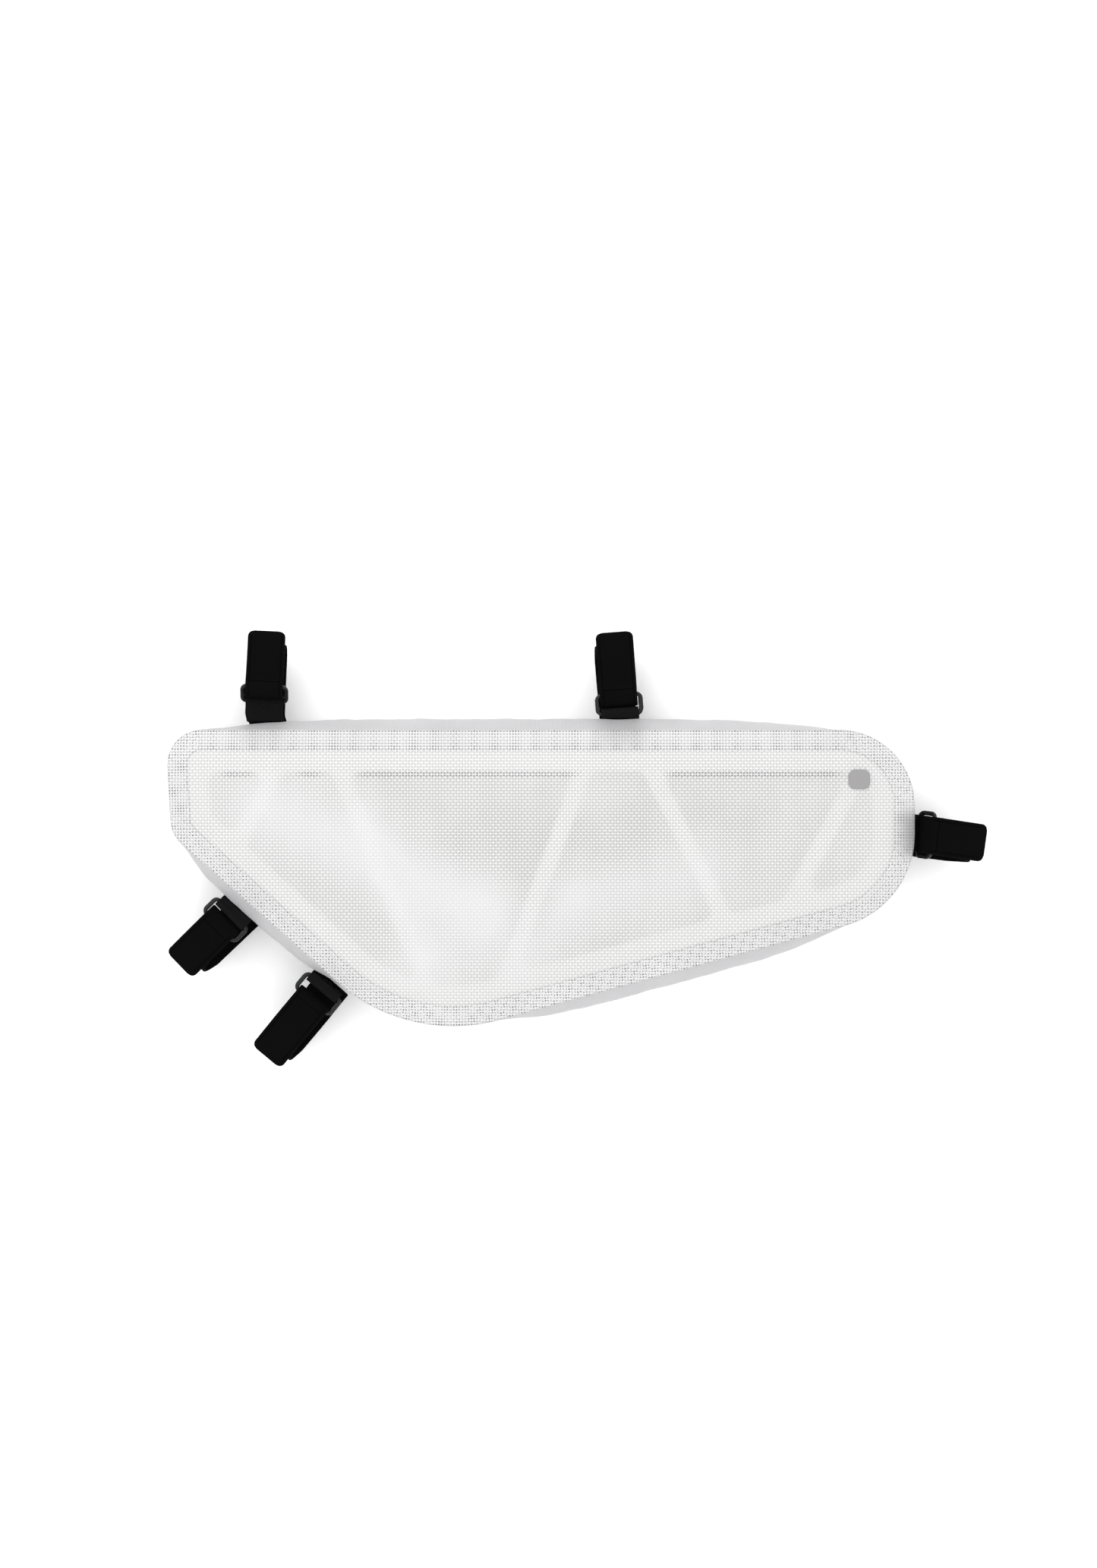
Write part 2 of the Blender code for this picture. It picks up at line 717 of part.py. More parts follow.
def ring_bars(strap):
    """Both bars of a ring that stands up on its inner one: how far out from the gusset, and how high."""
    tilt = math.radians(strap["tilt"])
    middle = ring_distance(strap)
    out = BAR_OFFSET * math.cos(tilt)
    return (middle - out, RING_LEVEL), (middle + out, RING_LEVEL + 2 * BAR_OFFSET * math.sin(tilt))


def strap_seat(strap):
    """The seam point, outward normal and bulge under a strap, and how far out the web reaches there."""
    start, end, normal = edge_ends(strap["edge"])
    place = start + (end - start) * strap["place"]
    tangent = np.array([-normal[1], normal[0]])
    spread = []
    after_seam = np.roll(SEAM + SEAM_BULGE[:, None] * SEAM_NORMALS, -1, axis=0)
    for a, b in zip(SEAM + SEAM_BULGE[:, None] * SEAM_NORMALS, after_seam):
        for share in np.linspace(0, 1, 9):
            point = a + (b - a) * share - place
            if abs(point @ tangent) < STRAP_WIDTH * (0.5 + abs(strap["aside"])):
                spread.append(point @ normal)
    return place, normal, tangent, max(spread)


def strap_path(strap, bulge):
    """Middle line of the strap from its tip, round the ring's outer bar, round the loop, to its sewn leg, and
    how far each of its points lies to one side."""
    half = STRAP_THICKNESS / 2
    tip = bulge + strap["tip"] * STRAP_REACH
    out, level = ring_bars(strap)[1]
    bar = bulge + out
    wrap = RING_BAR / 2 + GAP + half
    fold = bar - RING_BAR / 2 - strap["slack"] * STRAP_WIDTH + wrap - half
    close = half + GAP / 2
    low = RING_LEVEL - LOOP_DROP
    turn = (level - close - low) / 2
    loop_end = bulge + strap["loop"] * STRAP_REACH - half - turn
    foot = web_face(bulge, low + LEG_RADIUS) + GAP + half
    upper = tip_run(tip, level + close)
    upper += run_line(upper[-1], (bar + TAPER_RUN, level + close), 5)
    upper += ease((bar + TAPER_RUN, level + close), (bar, level + wrap), 4)
    around_bar = [(bar, level + wrap), *arc((fold, level), wrap, 90, 270, 6), (bar, level - wrap)]
    under = ease((bar, level - wrap), (bar + TAPER_RUN, level - close), 4)
    under.append((bar + TAPER_RUN, level - close))
    under += run_line(under[-1], (loop_end, level - close), 3)
    around_loop = arc((loop_end, low + turn), turn, 90, -90, 8)[1:]
    back = run_line((loop_end, low), (foot + LEG_RADIUS, low), 4)
    corner = arc((foot + LEG_RADIUS, low + LEG_RADIUS), LEG_RADIUS, 270, 180, 3)[1:]
    leg = [
        (web_face(bulge, low + LEG_RADIUS + rise) + GAP + half, low + LEG_RADIUS + rise)
        for rise in (LEG_LENGTH / 2, LEG_LENGTH)
    ]
    front = len(upper) + len(around_bar) + len(under)
    path = np.array([*upper, *around_bar, *under, *around_loop, *back, *corner, *leg])
    aside = np.clip((np.arange(len(path)) - front) / len(around_loop), 0, 1)
    sag = np.clip((path[:, 0] - bar - TAPER_RUN) / (tip - bulge - TAPER_RUN), 0, None) ** 2
    path[:, 1] -= DROOP * sag
    return path, aside * strap["aside"] * STRAP_WIDTH


def tip_run(tip, level):
    """Points where the strap's tip widens from its end to its full width, along a round corner."""
    return [(tip - TIP_RADIUS * (1 - math.cos(angle)), level) for angle in TIP_ANGLES]


def tip_widths(count):
    """Half widths along the strap: round at the tip, then even."""
    widths = np.full(count, STRAP_WIDTH / 2)
    for index, angle in enumerate(TIP_ANGLES):
        widths[index] -= TIP_RADIUS * (1 - math.sin(angle))
    return widths


def lay_out(strap, seat, points):
    """Places points given as u, v, w: turned by the strap's lean and moved by its bow, none at the gusset."""
    place, normal, tangent, reach = seat
    points = np.asarray(points, float)
    out = points[..., 0] - reach
    share = np.clip(out / BEND_RUN, 0, 1)
    share = share * share * (3 - 2 * share)
    angle = math.radians(strap["lean"]) * share
    u = reach + out * np.cos(angle) - points[..., 1] * np.sin(angle)
    v = out * np.sin(angle) + points[..., 1] * np.cos(angle) + strap["bow"] * STRAP_WIDTH * share
    flat = place + u[..., None] * normal + v[..., None] * tangent
    return np.concatenate([flat, points[..., 2:3]], axis=-1)


def add_ribbon(name, strap, seat, path, aside, widths, thickness, finish):
    """A flat band of even thickness that follows a path in the u-w plane."""
    run = np.gradient(path, axis=0)
    run /= np.linalg.norm(run, axis=1)[:, None]
    across = np.stack([-run[:, 1], run[:, 0]], axis=1) * thickness / 2
    rows = []
    for side, lift in ((-1, -1), (1, -1), (1, 1), (-1, 1)):
        edge = path + lift * across
        rows.append(np.stack([edge[:, 0], aside + side * widths, edge[:, 1]], axis=1))
    points = lay_out(strap, seat, np.stack(rows, axis=1))
    count = len(path)
    faces = [(3, 2, 1, 0), tuple(4 * (count - 1) + k for k in range(4))]
    for i in range(count - 1):
        for k in range(4):
            beyond = (k + 1) % 4
            faces.append((4 * i + k, 4 * i + beyond, 4 * i + 4 + beyond, 4 * i + 4 + k))
    return add_object(name, points.reshape(-1, 3), faces, finish)


def tab_path(strap, bulge):
    """Middle line of the tab: from its sewn end above the ring's inner bar, round it and down the gusset."""
    half = TAB_THICKNESS / 2
    out, level = ring_bars(strap)[0]
    bar = bulge + out
    wrap = RING_BAR / 2 + GAP + half
    fold = bar + RING_BAR / 2 + TAB_SLACK - wrap + half
    close = half + GAP / 2
    free = bar - bulge
    bend = min(LEG_RADIUS, free - GAP - half - LEAST_TAPER)
    taper = min(TAPER_RUN, free - GAP - half - bend)
    narrow = wrap - (wrap - close) * taper / TAPER_RUN
    lower = level - narrow
    foot = web_face(bulge, lower - bend) + GAP + half
    start = bulge + GAP + max(0.0, free - 2 * TAPER_RUN + half)
    upper = [(start, level + narrow), (bar - taper, level + narrow)]
    upper += ease((bar - taper, level + narrow), (bar, level + wrap), 3)
    around = [(bar, level + wrap), *arc((fold, level), wrap, 90, -90, 6), (bar, level - wrap)]
    under = ease((bar, level - wrap), (bar - taper, lower), 3)
    if bar - taper > foot + bend + GAP:
        under += [(bar - taper, lower)]
    corner = arc((foot + bend, lower - bend), bend, 90, 180, 3)
    leg = [
        (web_face(bulge, lower - bend - fall) + GAP + half, lower - bend - fall)
        for fall in (LEG_LENGTH / 2, LEG_LENGTH)
    ]
    return np.array([*upper, *around, *under, *corner, *leg])


def add_ring(name, strap, seat):
    """A flat link with round edges: its long bars run along the strap's width, and it stands up on its inner
    bar. Its section is an oval between the outer and the inner outline."""
    eye_width = STRAP_WIDTH + 2 * RING_PLAY
    inner = rounded_box((0.0, 0.0), RING_OPENING, eye_width, RING_EYE_CORNER, 4)
    outer = rounded_box((0.0, 0.0), RING_OPENING + 2 * RING_BAR, eye_width + 2 * RING_BAR, RING_CORNER, 4)
    tilt = math.radians(strap["tilt"])
    middle = seat[3] + ring_distance(strap)
    height = RING_LEVEL + BAR_OFFSET * math.sin(tilt)
    rows = []
    for k in range(RING_SIDES):
        angle = math.tau * k / RING_SIDES
        flat = (outer + inner) / 2 + (outer - inner) / 2 * math.cos(angle)
        lift = RING_THICKNESS / 2 * math.sin(angle)
        out = middle + flat[:, 0] * math.cos(tilt) - lift * math.sin(tilt)
        rise = height + flat[:, 0] * math.sin(tilt) + lift * math.cos(tilt)
        rows.append(np.stack([out, flat[:, 1], rise], axis=1))
    points = lay_out(strap, seat, np.stack(rows, axis=1))
    count = len(outer)
    faces = []
    for i in range(count):
        after = (i + 1) % count
        for k in range(RING_SIDES):
            beyond = (k + 1) % RING_SIDES
            faces.append(
                (
                    RING_SIDES * i + k,
                    RING_SIDES * after + k,
                    RING_SIDES * after + beyond,
                    RING_SIDES * i + beyond,
                )
            )
    return add_object(name, points.reshape(-1, 3), faces, RING_WIRE)


for strap in STRAPS:
    seat = strap_seat(strap)
    path, aside = strap_path(strap, seat[3])
    add_ribbon(
        f"strap_{strap['name']}",
        strap,
        seat,
        path,
        aside,
        tip_widths(len(path)),
        STRAP_THICKNESS,
        STRAP_WEBBING,
    )
    tab = tab_path(strap, seat[3])
    add_ribbon(
        f"tab_{strap['name']}",
        strap,
        seat,
        tab,
        np.zeros(len(tab)),
        np.full(len(tab), STRAP_WIDTH / 2),
        TAB_THICKNESS,
        TAB_WEBBING,
    )
    add_ring(f"ring_{strap['name']}", strap, seat)
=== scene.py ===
"""The looks of a bicycle frame bag: a welded pouch of see-through coated cloth with a truss-shaped
stiffener behind its front panel, a zip in its back panel, and five hook-and-loop straps with rings.

All is in metres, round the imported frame. The bag lies on its back panel: +X runs from its nose to its
tail, +Y towards its top edge and +Z from the back panel to the front panel."""

import math

import bmesh
import bpy
import numpy as np
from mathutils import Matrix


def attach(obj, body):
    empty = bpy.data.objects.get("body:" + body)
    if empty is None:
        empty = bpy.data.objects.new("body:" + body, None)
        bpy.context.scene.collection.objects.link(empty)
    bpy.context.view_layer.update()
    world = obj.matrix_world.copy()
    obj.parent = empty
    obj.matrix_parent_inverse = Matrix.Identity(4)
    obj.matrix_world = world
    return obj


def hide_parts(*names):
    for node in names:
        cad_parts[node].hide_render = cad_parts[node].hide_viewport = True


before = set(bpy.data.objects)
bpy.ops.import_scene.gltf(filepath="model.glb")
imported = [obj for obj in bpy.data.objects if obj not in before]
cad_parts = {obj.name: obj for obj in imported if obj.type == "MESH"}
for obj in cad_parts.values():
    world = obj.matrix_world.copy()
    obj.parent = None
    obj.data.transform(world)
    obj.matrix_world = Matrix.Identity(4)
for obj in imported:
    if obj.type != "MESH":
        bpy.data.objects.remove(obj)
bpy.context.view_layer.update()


# Camera, floor and light
# The photo looks straight down on the bag, which lies on a white ground. The long lens hides all of the
# gusset but its bulge. A white sky and one big soft lamp at the upper left light it without hard shadows.

PHOTO_SIZE = (1445, 2065)
PHOTO_SCALE = 0.0005
PHOTO_ORIGIN = (712.5, 1156.25)
CAMERA_RISE = 2.6
SENSOR = 36.0
FLOOR_SPAN = 12.0
FLOOR_WHITE = 1.0
SKY_STRENGTH = 1.5
LAMP_PLACE = (-0.75, 0.95, 1.55)
LAMP_SPAN = 1.6
LAMP_POWER = 8.0

# How far each panel rises from its seam to its middle, and the levels of both seams
BACK_CROWN = 0.004
SEAM_DEPTH = 0.056
FRONT_CROWN = 0.005
BACK_SEAM = BACK_CROWN
FRONT_SEAM = BACK_SEAM + SEAM_DEPTH


def shader_node(tree, kind, inputs=None, **settings):
    """One node, with its settings, and its inputs set to values or linked to other nodes' outputs."""
    made = tree.nodes.new(kind)
    for key, value in settings.items():
        setattr(made, key, value)
    for key, value in (inputs or {}).items():
        if isinstance(value, bpy.types.NodeSocket):
            tree.links.new(value, made.inputs[key])
        else:
            made.inputs[key].default_value = value
    return made


def new_material(name):
    """An empty material and the socket that its surface goes into."""
    made = bpy.data.materials.new(name)
    made.use_nodes = True
    made.node_tree.nodes.clear()
    out = made.node_tree.nodes.new("ShaderNodeOutputMaterial")
    return made, made.node_tree, out.inputs["Surface"]


def into_scene(name, data):
    """A new object with this data, in the scene."""
    made = bpy.data.objects.new(name, data)
    bpy.context.scene.collection.objects.link(made)
    return made


camera_data = bpy.data.cameras.new("camera")
camera_data.sensor_width = SENSOR
camera_data.lens = SENSOR * CAMERA_RISE / (PHOTO_SIZE[1] * PHOTO_SCALE)
camera = into_scene("camera", camera_data)
camera.location = (
    (PHOTO_SIZE[0] / 2 - PHOTO_ORIGIN[0]) * PHOTO_SCALE,
    (PHOTO_ORIGIN[1] - PHOTO_SIZE[1] / 2) * PHOTO_SCALE,
    FRONT_SEAM + CAMERA_RISE,
)
bpy.context.scene.camera = camera
bpy.context.scene.view_settings.view_transform = "Standard"

world = bpy.data.worlds.new("white_sky")
world.use_nodes = True
world.node_tree.nodes["Background"].inputs["Color"].default_value = (1.0, 1.0, 1.0, 1.0)
world.node_tree.nodes["Background"].inputs["Strength"].default_value = SKY_STRENGTH
bpy.context.scene.world = world

lamp_data = bpy.data.lights.new("soft_lamp", "AREA")
lamp_data.energy = LAMP_POWER
lamp_data.size = LAMP_SPAN
lamp = into_scene("soft_lamp", lamp_data)
lamp.location = LAMP_PLACE
lamp.rotation_euler = (-lamp.location).to_track_quat("-Z", "Y").to_euler()

floor_mesh = bpy.data.meshes.new("floor")
half = FLOOR_SPAN / 2
floor_corners = [(-half, -half, 0), (half, -half, 0), (half, half, 0), (-half, half, 0)]
floor_mesh.from_pydata(floor_corners, [], [(0, 1, 2, 3)])
floor = into_scene("floor", floor_mesh)
floor_paint, tree, surface = new_material("floor_paint")
paint = shader_node(tree, "ShaderNodeBsdfDiffuse", {"Color": (FLOOR_WHITE, FLOOR_WHITE, FLOOR_WHITE, 1.0)})
tree.links.new(paint.outputs["BSDF"], surface)
floor_mesh.materials.append(floor_paint)


# Front panel
# One piece of coated scrim: a plain weave of white threads between two clear films, milky and a little
# glossy. It has five straight edges with round corners, is crowned over the stiffener and is welded to the
# gusset's flange all round.

BODY_LENGTH = 0.4925
BODY_HEIGHT = 0.1953
LEFT, RIGHT = -BODY_LENGTH / 2, BODY_LENGTH / 2
BOTTOM, TOP = -BODY_HEIGHT / 2, BODY_HEIGHT / 2
# The circle of each corner, anticlockwise from the top of the nose: its middle and its radius
CORNERS = np.array(
    [
        (LEFT + 0.023, TOP - 0.023, 0.023),
        (LEFT + 0.0245, BOTTOM + 0.700 * BODY_HEIGHT, 0.0225),
        (LEFT + 0.383 * BODY_LENGTH, BOTTOM + 0.1155, 0.1155),
        (RIGHT - 0.0625, BOTTOM + 0.647 * BODY_HEIGHT, 0.0625),
        (RIGHT - 0.050, TOP - 0.050, 0.050),
    ]
)
# How far the gusset bulges past each edge that follows those corners
EDGE_NAMES = ("nose", "nose_slope", "keel_slope", "tail", "top")
EDGE_BULGES = (0.001, 0.0085, 0.0088, 0.0015, 0.0075)
BULGE_POWER = 5
CROWN_REACH = 0.040
FLANGE = 0.013
PANEL_COLUMNS, PANEL_ROWS = 400, 170
WELD_EDGE = 0.0012
SEAM_STATIONS = 900
# The weaves, in millimetres: spacing and width of the panel's threads, spacing of the dashes of the yarn
# that lies on top, and the same spacing and width for the flange that shows through at the weld
PANEL_PITCH, PANEL_THREAD = 1.95, 0.7
DASH_PERIOD = 3.5
FLANGE_PITCH, FLANGE_THREAD = 1.7, 0.62
# A painted shadow of the stiffener's top rail on the cloth below it: the ends of each stretch as shares of
# the body's length, how far below the top edge it lies, its width, how steeply it sets in at its ends, and
# how dark it is. The panel's edge has a painted shadow line of its own darkness
RAIL_SHADES = ((0.067, 0.124), (0.170, 0.214), (0.248, 0.558), (0.660, 0.907))
RAIL_FROM_TOP = 0.0295
RAIL_SHADE_WIDTH = 0.0022
RAIL_END_SLOPE = 60
RAIL_DARKNESS = 0.7
EDGE_SHADOW = 0.3
THREAD_OPACITY = 0.97
PANEL_YARN = (0.60, 0.60, 0.595, 1.0)
PANEL_FILM = (0.545, 0.545, 0.54, 1.0)
PANEL_DASH = (0.69, 0.685, 0.69, 1.0)
# Painted shade for the weld's pinholes, the line along its inner side and the shadow below the top rail
DEEP_SHADE = (0.10, 0.10, 0.102, 1.0)
# Painted sheen along the creases
SHEEN_COLOUR = (0.66, 0.655, 0.665, 1.0)
SHADE = (0.18, 0.18, 0.183, 1.0)
# Soft creases in the cloth: where each starts and ends as shares of the body's length and height, its width
# as a share of the height, how far it stands up as a share of the crown, and how much painted sheen lies on
# it
CREASE_COLUMNS = ("from_x", "from_y", "to_x", "to_y", "width", "rise", "crease_sheen")
CREASE_ROWS = (
    (0.130, 0.735, 0.420, 0.395, 0.105, 0.12, 0.90),
    (0.265, 0.700, 0.345, 0.255, 0.060, 0.08, 0.60),
    (0.420, 0.330, 0.330, 0.140, 0.120, 0.05, 0.50),
    (0.470, 0.180, 0.540, 0.430, 0.070, 0.06, 0.45),
    (0.560, 0.420, 0.720, 0.520, 0.110, 0.06, 0.55),
    (0.210, 0.930, 0.560, 0.915, 0.050, 0.03, 0.35),
)
CREASES = [dict(zip(CREASE_COLUMNS, row)) for row in CREASE_ROWS]
# The edge and the share of it where each strap is sewn, and how much darker the cloth is there
SEWN_PLACES = {
    "top_nose": ("top", 0.905, 0.22),
    "top_tail": ("top", 0.342, 0.30),
    "tail": ("tail", 0.03, 0.80),
    "slope_nose": ("nose_slope", 0.3975, 0.10),
    "slope_keel": ("nose_slope", 0.965, 0.12),
}
SHADE_REACH = 0.016
SHADE_DEPTH = 0.010


def seam_outline(arc_points=90, edge_points=160):
    """Points, outward normals and gusset bulges once round the seam, anticlockwise.
    Each corner is an arc, x = cx + r cos a and y = cy + r sin a. Each edge is the line that touches two
    corner circles, and its bulge grows and falls as 1 - |2 t - 1| ^ power over its share t."""
    following = np.roll(CORNERS, -1, axis=0)
    across = following[:, :2] - CORNERS[:, :2]
    leaving = np.arctan2(across[:, 1], across[:, 0]) - np.arccos(
        (CORNERS[:, 2] - following[:, 2]) / np.hypot(across[:, 0], across[:, 1])
    )
    arriving = np.roll(leaving, 1)
    turn = (leaving - arriving) % math.tau
    points, normals, bulges = [], [], []
    for corner, after, start, sweep, end, bulge in zip(
        CORNERS, following, arriving, turn, leaving, EDGE_BULGES
    ):
        angle = start + sweep * np.linspace(0, 1, arc_points, endpoint=False)
        normal = np.stack([np.cos(angle), np.sin(angle)], axis=1)
        points.append(corner[:2] + corner[2] * normal)
        normals.append(normal)
        bulges.append(np.zeros(arc_points))
        share = np.linspace(0, 1, edge_points, endpoint=False)[:, None]
        flat = np.array([[math.cos(end), math.sin(end)]])
        points.append((corner[:2] + corner[2] * flat) * (1 - share) + (after[:2] + after[2] * flat) * share)
        normals.append(np.repeat(flat, edge_points, axis=0))
        bulges.append(bulge * (1 - np.abs(2 * share[:, 0] - 1) ** BULGE_POWER))
    return np.concatenate(points), np.concatenate(normals), np.concatenate(bulges)


def sewn_place(edge, share):
    """A point on a straight edge, at a share of it from its start, and the edge's outward normal."""
    index = EDGE_NAMES.index(edge)
    corner, after = CORNERS[index], CORNERS[(index + 1) % len(CORNERS)]
    run = after[:2] - corner[:2]
    angle = math.atan2(run[1], run[0]) - math.acos((corner[2] - after[2]) / math.hypot(*run))
    normal = np.array([math.cos(angle), math.sin(angle)])
    return corner[:2] + run * share + normal * (corner[2] + (after[2] - corner[2]) * share), normal


def run_lengths(points):
    """The length along a line at each of its points, from 0 at the first."""
    return np.concatenate([[0.0], np.cumsum(np.linalg.norm(np.diff(points, axis=0), axis=1))])


def evenly_round(count):
    """The seam at evenly spaced lengths, one lap and its end: points, normals, bulges and lengths."""
    points, normals, bulges = seam_outline()
    length = run_lengths(np.concatenate([points, points[:1]]))
    wanted = np.linspace(0, length[-1], count + 1)

    def read(values):
        return np.interp(wanted, length, np.concatenate([values, values[:1]]))

    normal = np.stack([read(normals[:, 0]), read(normals[:, 1])], axis=1)
    normal /= np.linalg.norm(normal, axis=1)[:, None]
    smooth = np.convolve(np.tile(read(bulges)[:-1], 3), np.hanning(41) / np.hanning(41).sum(), "same")
    bulge = np.append(smooth[count : 2 * count], smooth[count])
    return np.stack([read(points[:, 0]), read(points[:, 1])], axis=1), normal, bulge, wanted


SEAM_POINTS, SEAM_NORMALS, SEAM_BULGES, SEAM_LENGTHS = evenly_round(SEAM_STATIONS)


def seam_depth(x, y):
    """How far in from the seam each point lies, and the length round the seam at its nearest point.
    The outline is convex, so the depth is the least of reach - p . n over all its tangent lines. The length
    is that of the nearest station s, plus (p - s) along the tangent there."""
    flat = np.stack([x.ravel(), y.ravel()], axis=1)
    stations, normals = SEAM_POINTS[:-1], SEAM_NORMALS[:-1]
    reach = (stations * normals).sum(axis=1)
    depth, along = [], []
    for block in np.array_split(flat, 16):
        depth.append((reach[None, :] - block @ normals.T).min(axis=1))
        near = ((stations**2).sum(axis=1)[None, :] - 2 * block @ stations.T).argmin(axis=1)
        away = block - stations[near]
        along.append(SEAM_LENGTHS[near] + away[:, 1] * normals[near, 0] - away[:, 0] * normals[near, 1])
    return np.concatenate(depth).reshape(x.shape), np.concatenate(along).reshape(x.shape)


def rail_shade(x, y):
    """Painted shadow below the top rail: exp(-((y - y0) / width) ^ 4) between each pair of ends."""
    share = (x - LEFT) / BODY_LENGTH
    ends = [np.minimum(share - start, end - share) * RAIL_END_SLOPE for start, end in RAIL_SHADES]
    inside = np.clip(np.max(ends, axis=0), 0, 1)
    return inside * np.exp(-(((y - TOP + RAIL_FROM_TOP) / RAIL_SHADE_WIDTH) ** 4))


def base_shade(x, y):
    """Darkening round the sewn end of each strap: its darkness times exp(-(t / reach) ^ 4) along the seam
    and exp(-(d / depth) ^ 2) square to it."""
    shade = np.zeros(x.shape)
    for edge, share, darkness in SEWN_PLACES.values():
        point, normal = sewn_place(edge, share)
        across = (x - point[0]) * normal[0] + (y - point[1]) * normal[1]
        aside = (y - point[1]) * normal[0] - (x - point[0]) * normal[1]
        shade += darkness * np.exp(-((aside / SHADE_REACH) ** 4) - (across / SHADE_DEPTH) ** 2)
    return shade


def crown_share(depth):
    """A panel's rise from 0 at its seam to 1 where it turns flat: 1 - (1 - depth / reach) ^ 2."""
    across = np.clip(depth / CROWN_REACH, 0, 1)
    return 1 - (1 - across) ** 2


def crease_fields(x, y):
    """Rise and painted sheen from the creases: each is exp(-(distance to its line / width) ^ 2)."""
    rise, crease_sheen = np.zeros(x.shape), np.zeros(x.shape)
    for crease in CREASES:
        start = np.array([LEFT + crease["from_x"] * BODY_LENGTH, BOTTOM + crease["from_y"] * BODY_HEIGHT])
        end = np.array([LEFT + crease["to_x"] * BODY_LENGTH, BOTTOM + crease["to_y"] * BODY_HEIGHT])
        run = end - start
        share = ((x - start[0]) * run[0] + (y - start[1]) * run[1]) / (run @ run)
        held = np.clip(share, 0, 1)
        away = np.hypot(x - start[0] - held * run[0], y - start[1] - held * run[1])
        ridge = np.exp(-((away / (crease["width"] * BODY_HEIGHT)) ** 2))
        rise += crease["rise"] * FRONT_CROWN * ridge
        crease_sheen += crease["crease_sheen"] * ridge
    return rise, np.clip(crease_sheen, 0, 1)


def panel_columns(count):
    """x from the nose to the tail, closer together at both ends where the outline turns."""
    share = np.linspace(0, 1, count)
    return LEFT + BODY_LENGTH * np.clip(0.4 * share + 0.3 * (1 - np.cos(math.pi * share)), 1e-6, 1 - 1e-6)


def panel_span(x):
    """The seam's lower and upper y at each x."""
    first, last = SEAM_POINTS[:-1, 0].argmin(), SEAM_POINTS[:-1, 0].argmax()
    around = np.roll(SEAM_POINTS[:-1], -first, axis=0)
    middle = (last - first) % len(around)
    lower, upper = around[: middle + 1], np.concatenate([around[middle:], around[:1]])[::-1]
    return np.interp(x, lower[:, 0], lower[:, 1]), np.interp(x, upper[:, 0], upper[:, 1])


def add_surface(name, grid, uv, wrap=(False, False), caps=False, skip_row=None):
    """A mesh of quads over a grid of points, rows by columns by 3, facing (columns) x (rows).
    wrap closes the rows or the columns, caps closes the ends of a tube, skip_row leaves a row of quads out,
    and uv, in millimetres, has one more row or column than the grid where it wraps."""
    rows, columns = grid.shape[:2]
    i, j = np.meshgrid(np.arange(rows - (not wrap[0])), np.arange(columns - (not wrap[1])), indexing="ij")
    i, j = i.ravel(), j.ravel()
    if skip_row is not None:
        i, j = i[i != skip_row], j[i != skip_row]
    below, beyond = (i + 1) % rows, (j + 1) % columns
    quads = np.stack(
        [i * columns + j, i * columns + beyond, below * columns + beyond, below * columns + j], axis=1
    )
    corners = np.stack([uv[i, j], uv[i, j + 1], uv[i + 1, j + 1], uv[i + 1, j]], axis=1).reshape(-1, 2)
    faces = quads.tolist()
    if caps:
        faces.append(list(range(columns))[::-1])
        faces.append(list(range((rows - 1) * columns, rows * columns)))
        corners = np.concatenate([corners, uv[0, :columns][::-1], uv[-1, :columns]])
    mesh = bpy.data.meshes.new(name)
    mesh.from_pydata(grid.reshape(-1, 3), [], faces)
    mesh.uv_layers.new(name="cloth").data.foreach_set("uv", corners.ravel().astype(np.float32))
    mesh.shade_smooth()
    return into_scene(name, mesh)


def store(piece, name, values):
    """Keeps one number for each point of a piece, for its material."""
    made = piece.data.attributes.new(name, "FLOAT", "POINT")
    made.data.foreach_set("value", values.ravel().astype(np.float32))


def rework(piece, change):
    """Passes a piece's mesh through a change made in bmesh."""
    mesh = bmesh.new()
    mesh.from_mesh(piece.data)
    change(mesh)
    mesh.to_mesh(piece.data)
    mesh.free()


def merge(piece):
    """Joins points that lie in one place, such as a pole or the two sides of a closed slit."""
    rework(piece, lambda mesh: bmesh.ops.remove_doubles(mesh, verts=mesh.verts, dist=1e-7))


def face_outwards(piece):
    """Turns a closed piece's faces outwards."""
    rework(piece, lambda mesh: bmesh.ops.recalc_face_normals(mesh, faces=mesh.faces))


def vertices(piece):
    """A piece's points as an array."""
    points = np.empty(len(piece.data.vertices) * 3, dtype=np.float32)
    piece.data.vertices.foreach_get("co", points)
    return points.reshape(-1, 3).astype(float)


def place(piece, points):
    """Sets a piece's points."""
    piece.data.vertices.foreach_set("co", points.ravel().astype(np.float32))
    piece.data.update()


def dress(piece, finish, slot, *nodes):
    """Gives a piece its material and sets it in the place of CAD nodes. slot is not used."""
    piece.data.materials.clear()
    piece.data.materials.append(finish)
    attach(piece, "root")
    if nodes:
        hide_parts(*nodes)


def maths(tree, operation, first, second=0.0, third=0.0):
    """One Math node's output."""
    made = shader_node(tree, "ShaderNodeMath", {0: first, 1: second, 2: third}, operation=operation)
    return made.outputs[0]


def mix_colours(tree, share, first, second):
    """The colour between two colours at a share."""
    made = shader_node(tree, "ShaderNodeMix", data_type="RGBA")
    for index, value in ((0, share), (6, first), (7, second)):
        if isinstance(value, bpy.types.NodeSocket):
            tree.links.new(value, made.inputs[index])
        else:
            made.inputs[index].default_value = value
    return made.outputs[2]


def smooth_step(tree, value, start, end):
    """0 before start and 1 after end, with a smooth step between; the other way round where start > end."""
    inputs = {"Value": value, "From Min": start, "From Max": end}
    return shader_node(tree, "ShaderNodeMapRange", inputs, interpolation_type="SMOOTHSTEP").outputs["Result"]


def noise(tree, scale, detail=2.0):
    """Cloudy noise, 0 to 1, that stays in place on the object."""
    place = shader_node(tree, "ShaderNodeTexCoord")
    inputs = {"Vector": place.outputs["Object"], "Scale": scale, "Detail": detail}
    return shader_node(tree, "ShaderNodeTexNoise", inputs).outputs["Fac"]


def attribute(tree, name):
    """The value of a point attribute."""
    return shader_node(tree, "ShaderNodeAttribute", attribute_name=name).outputs["Fac"]


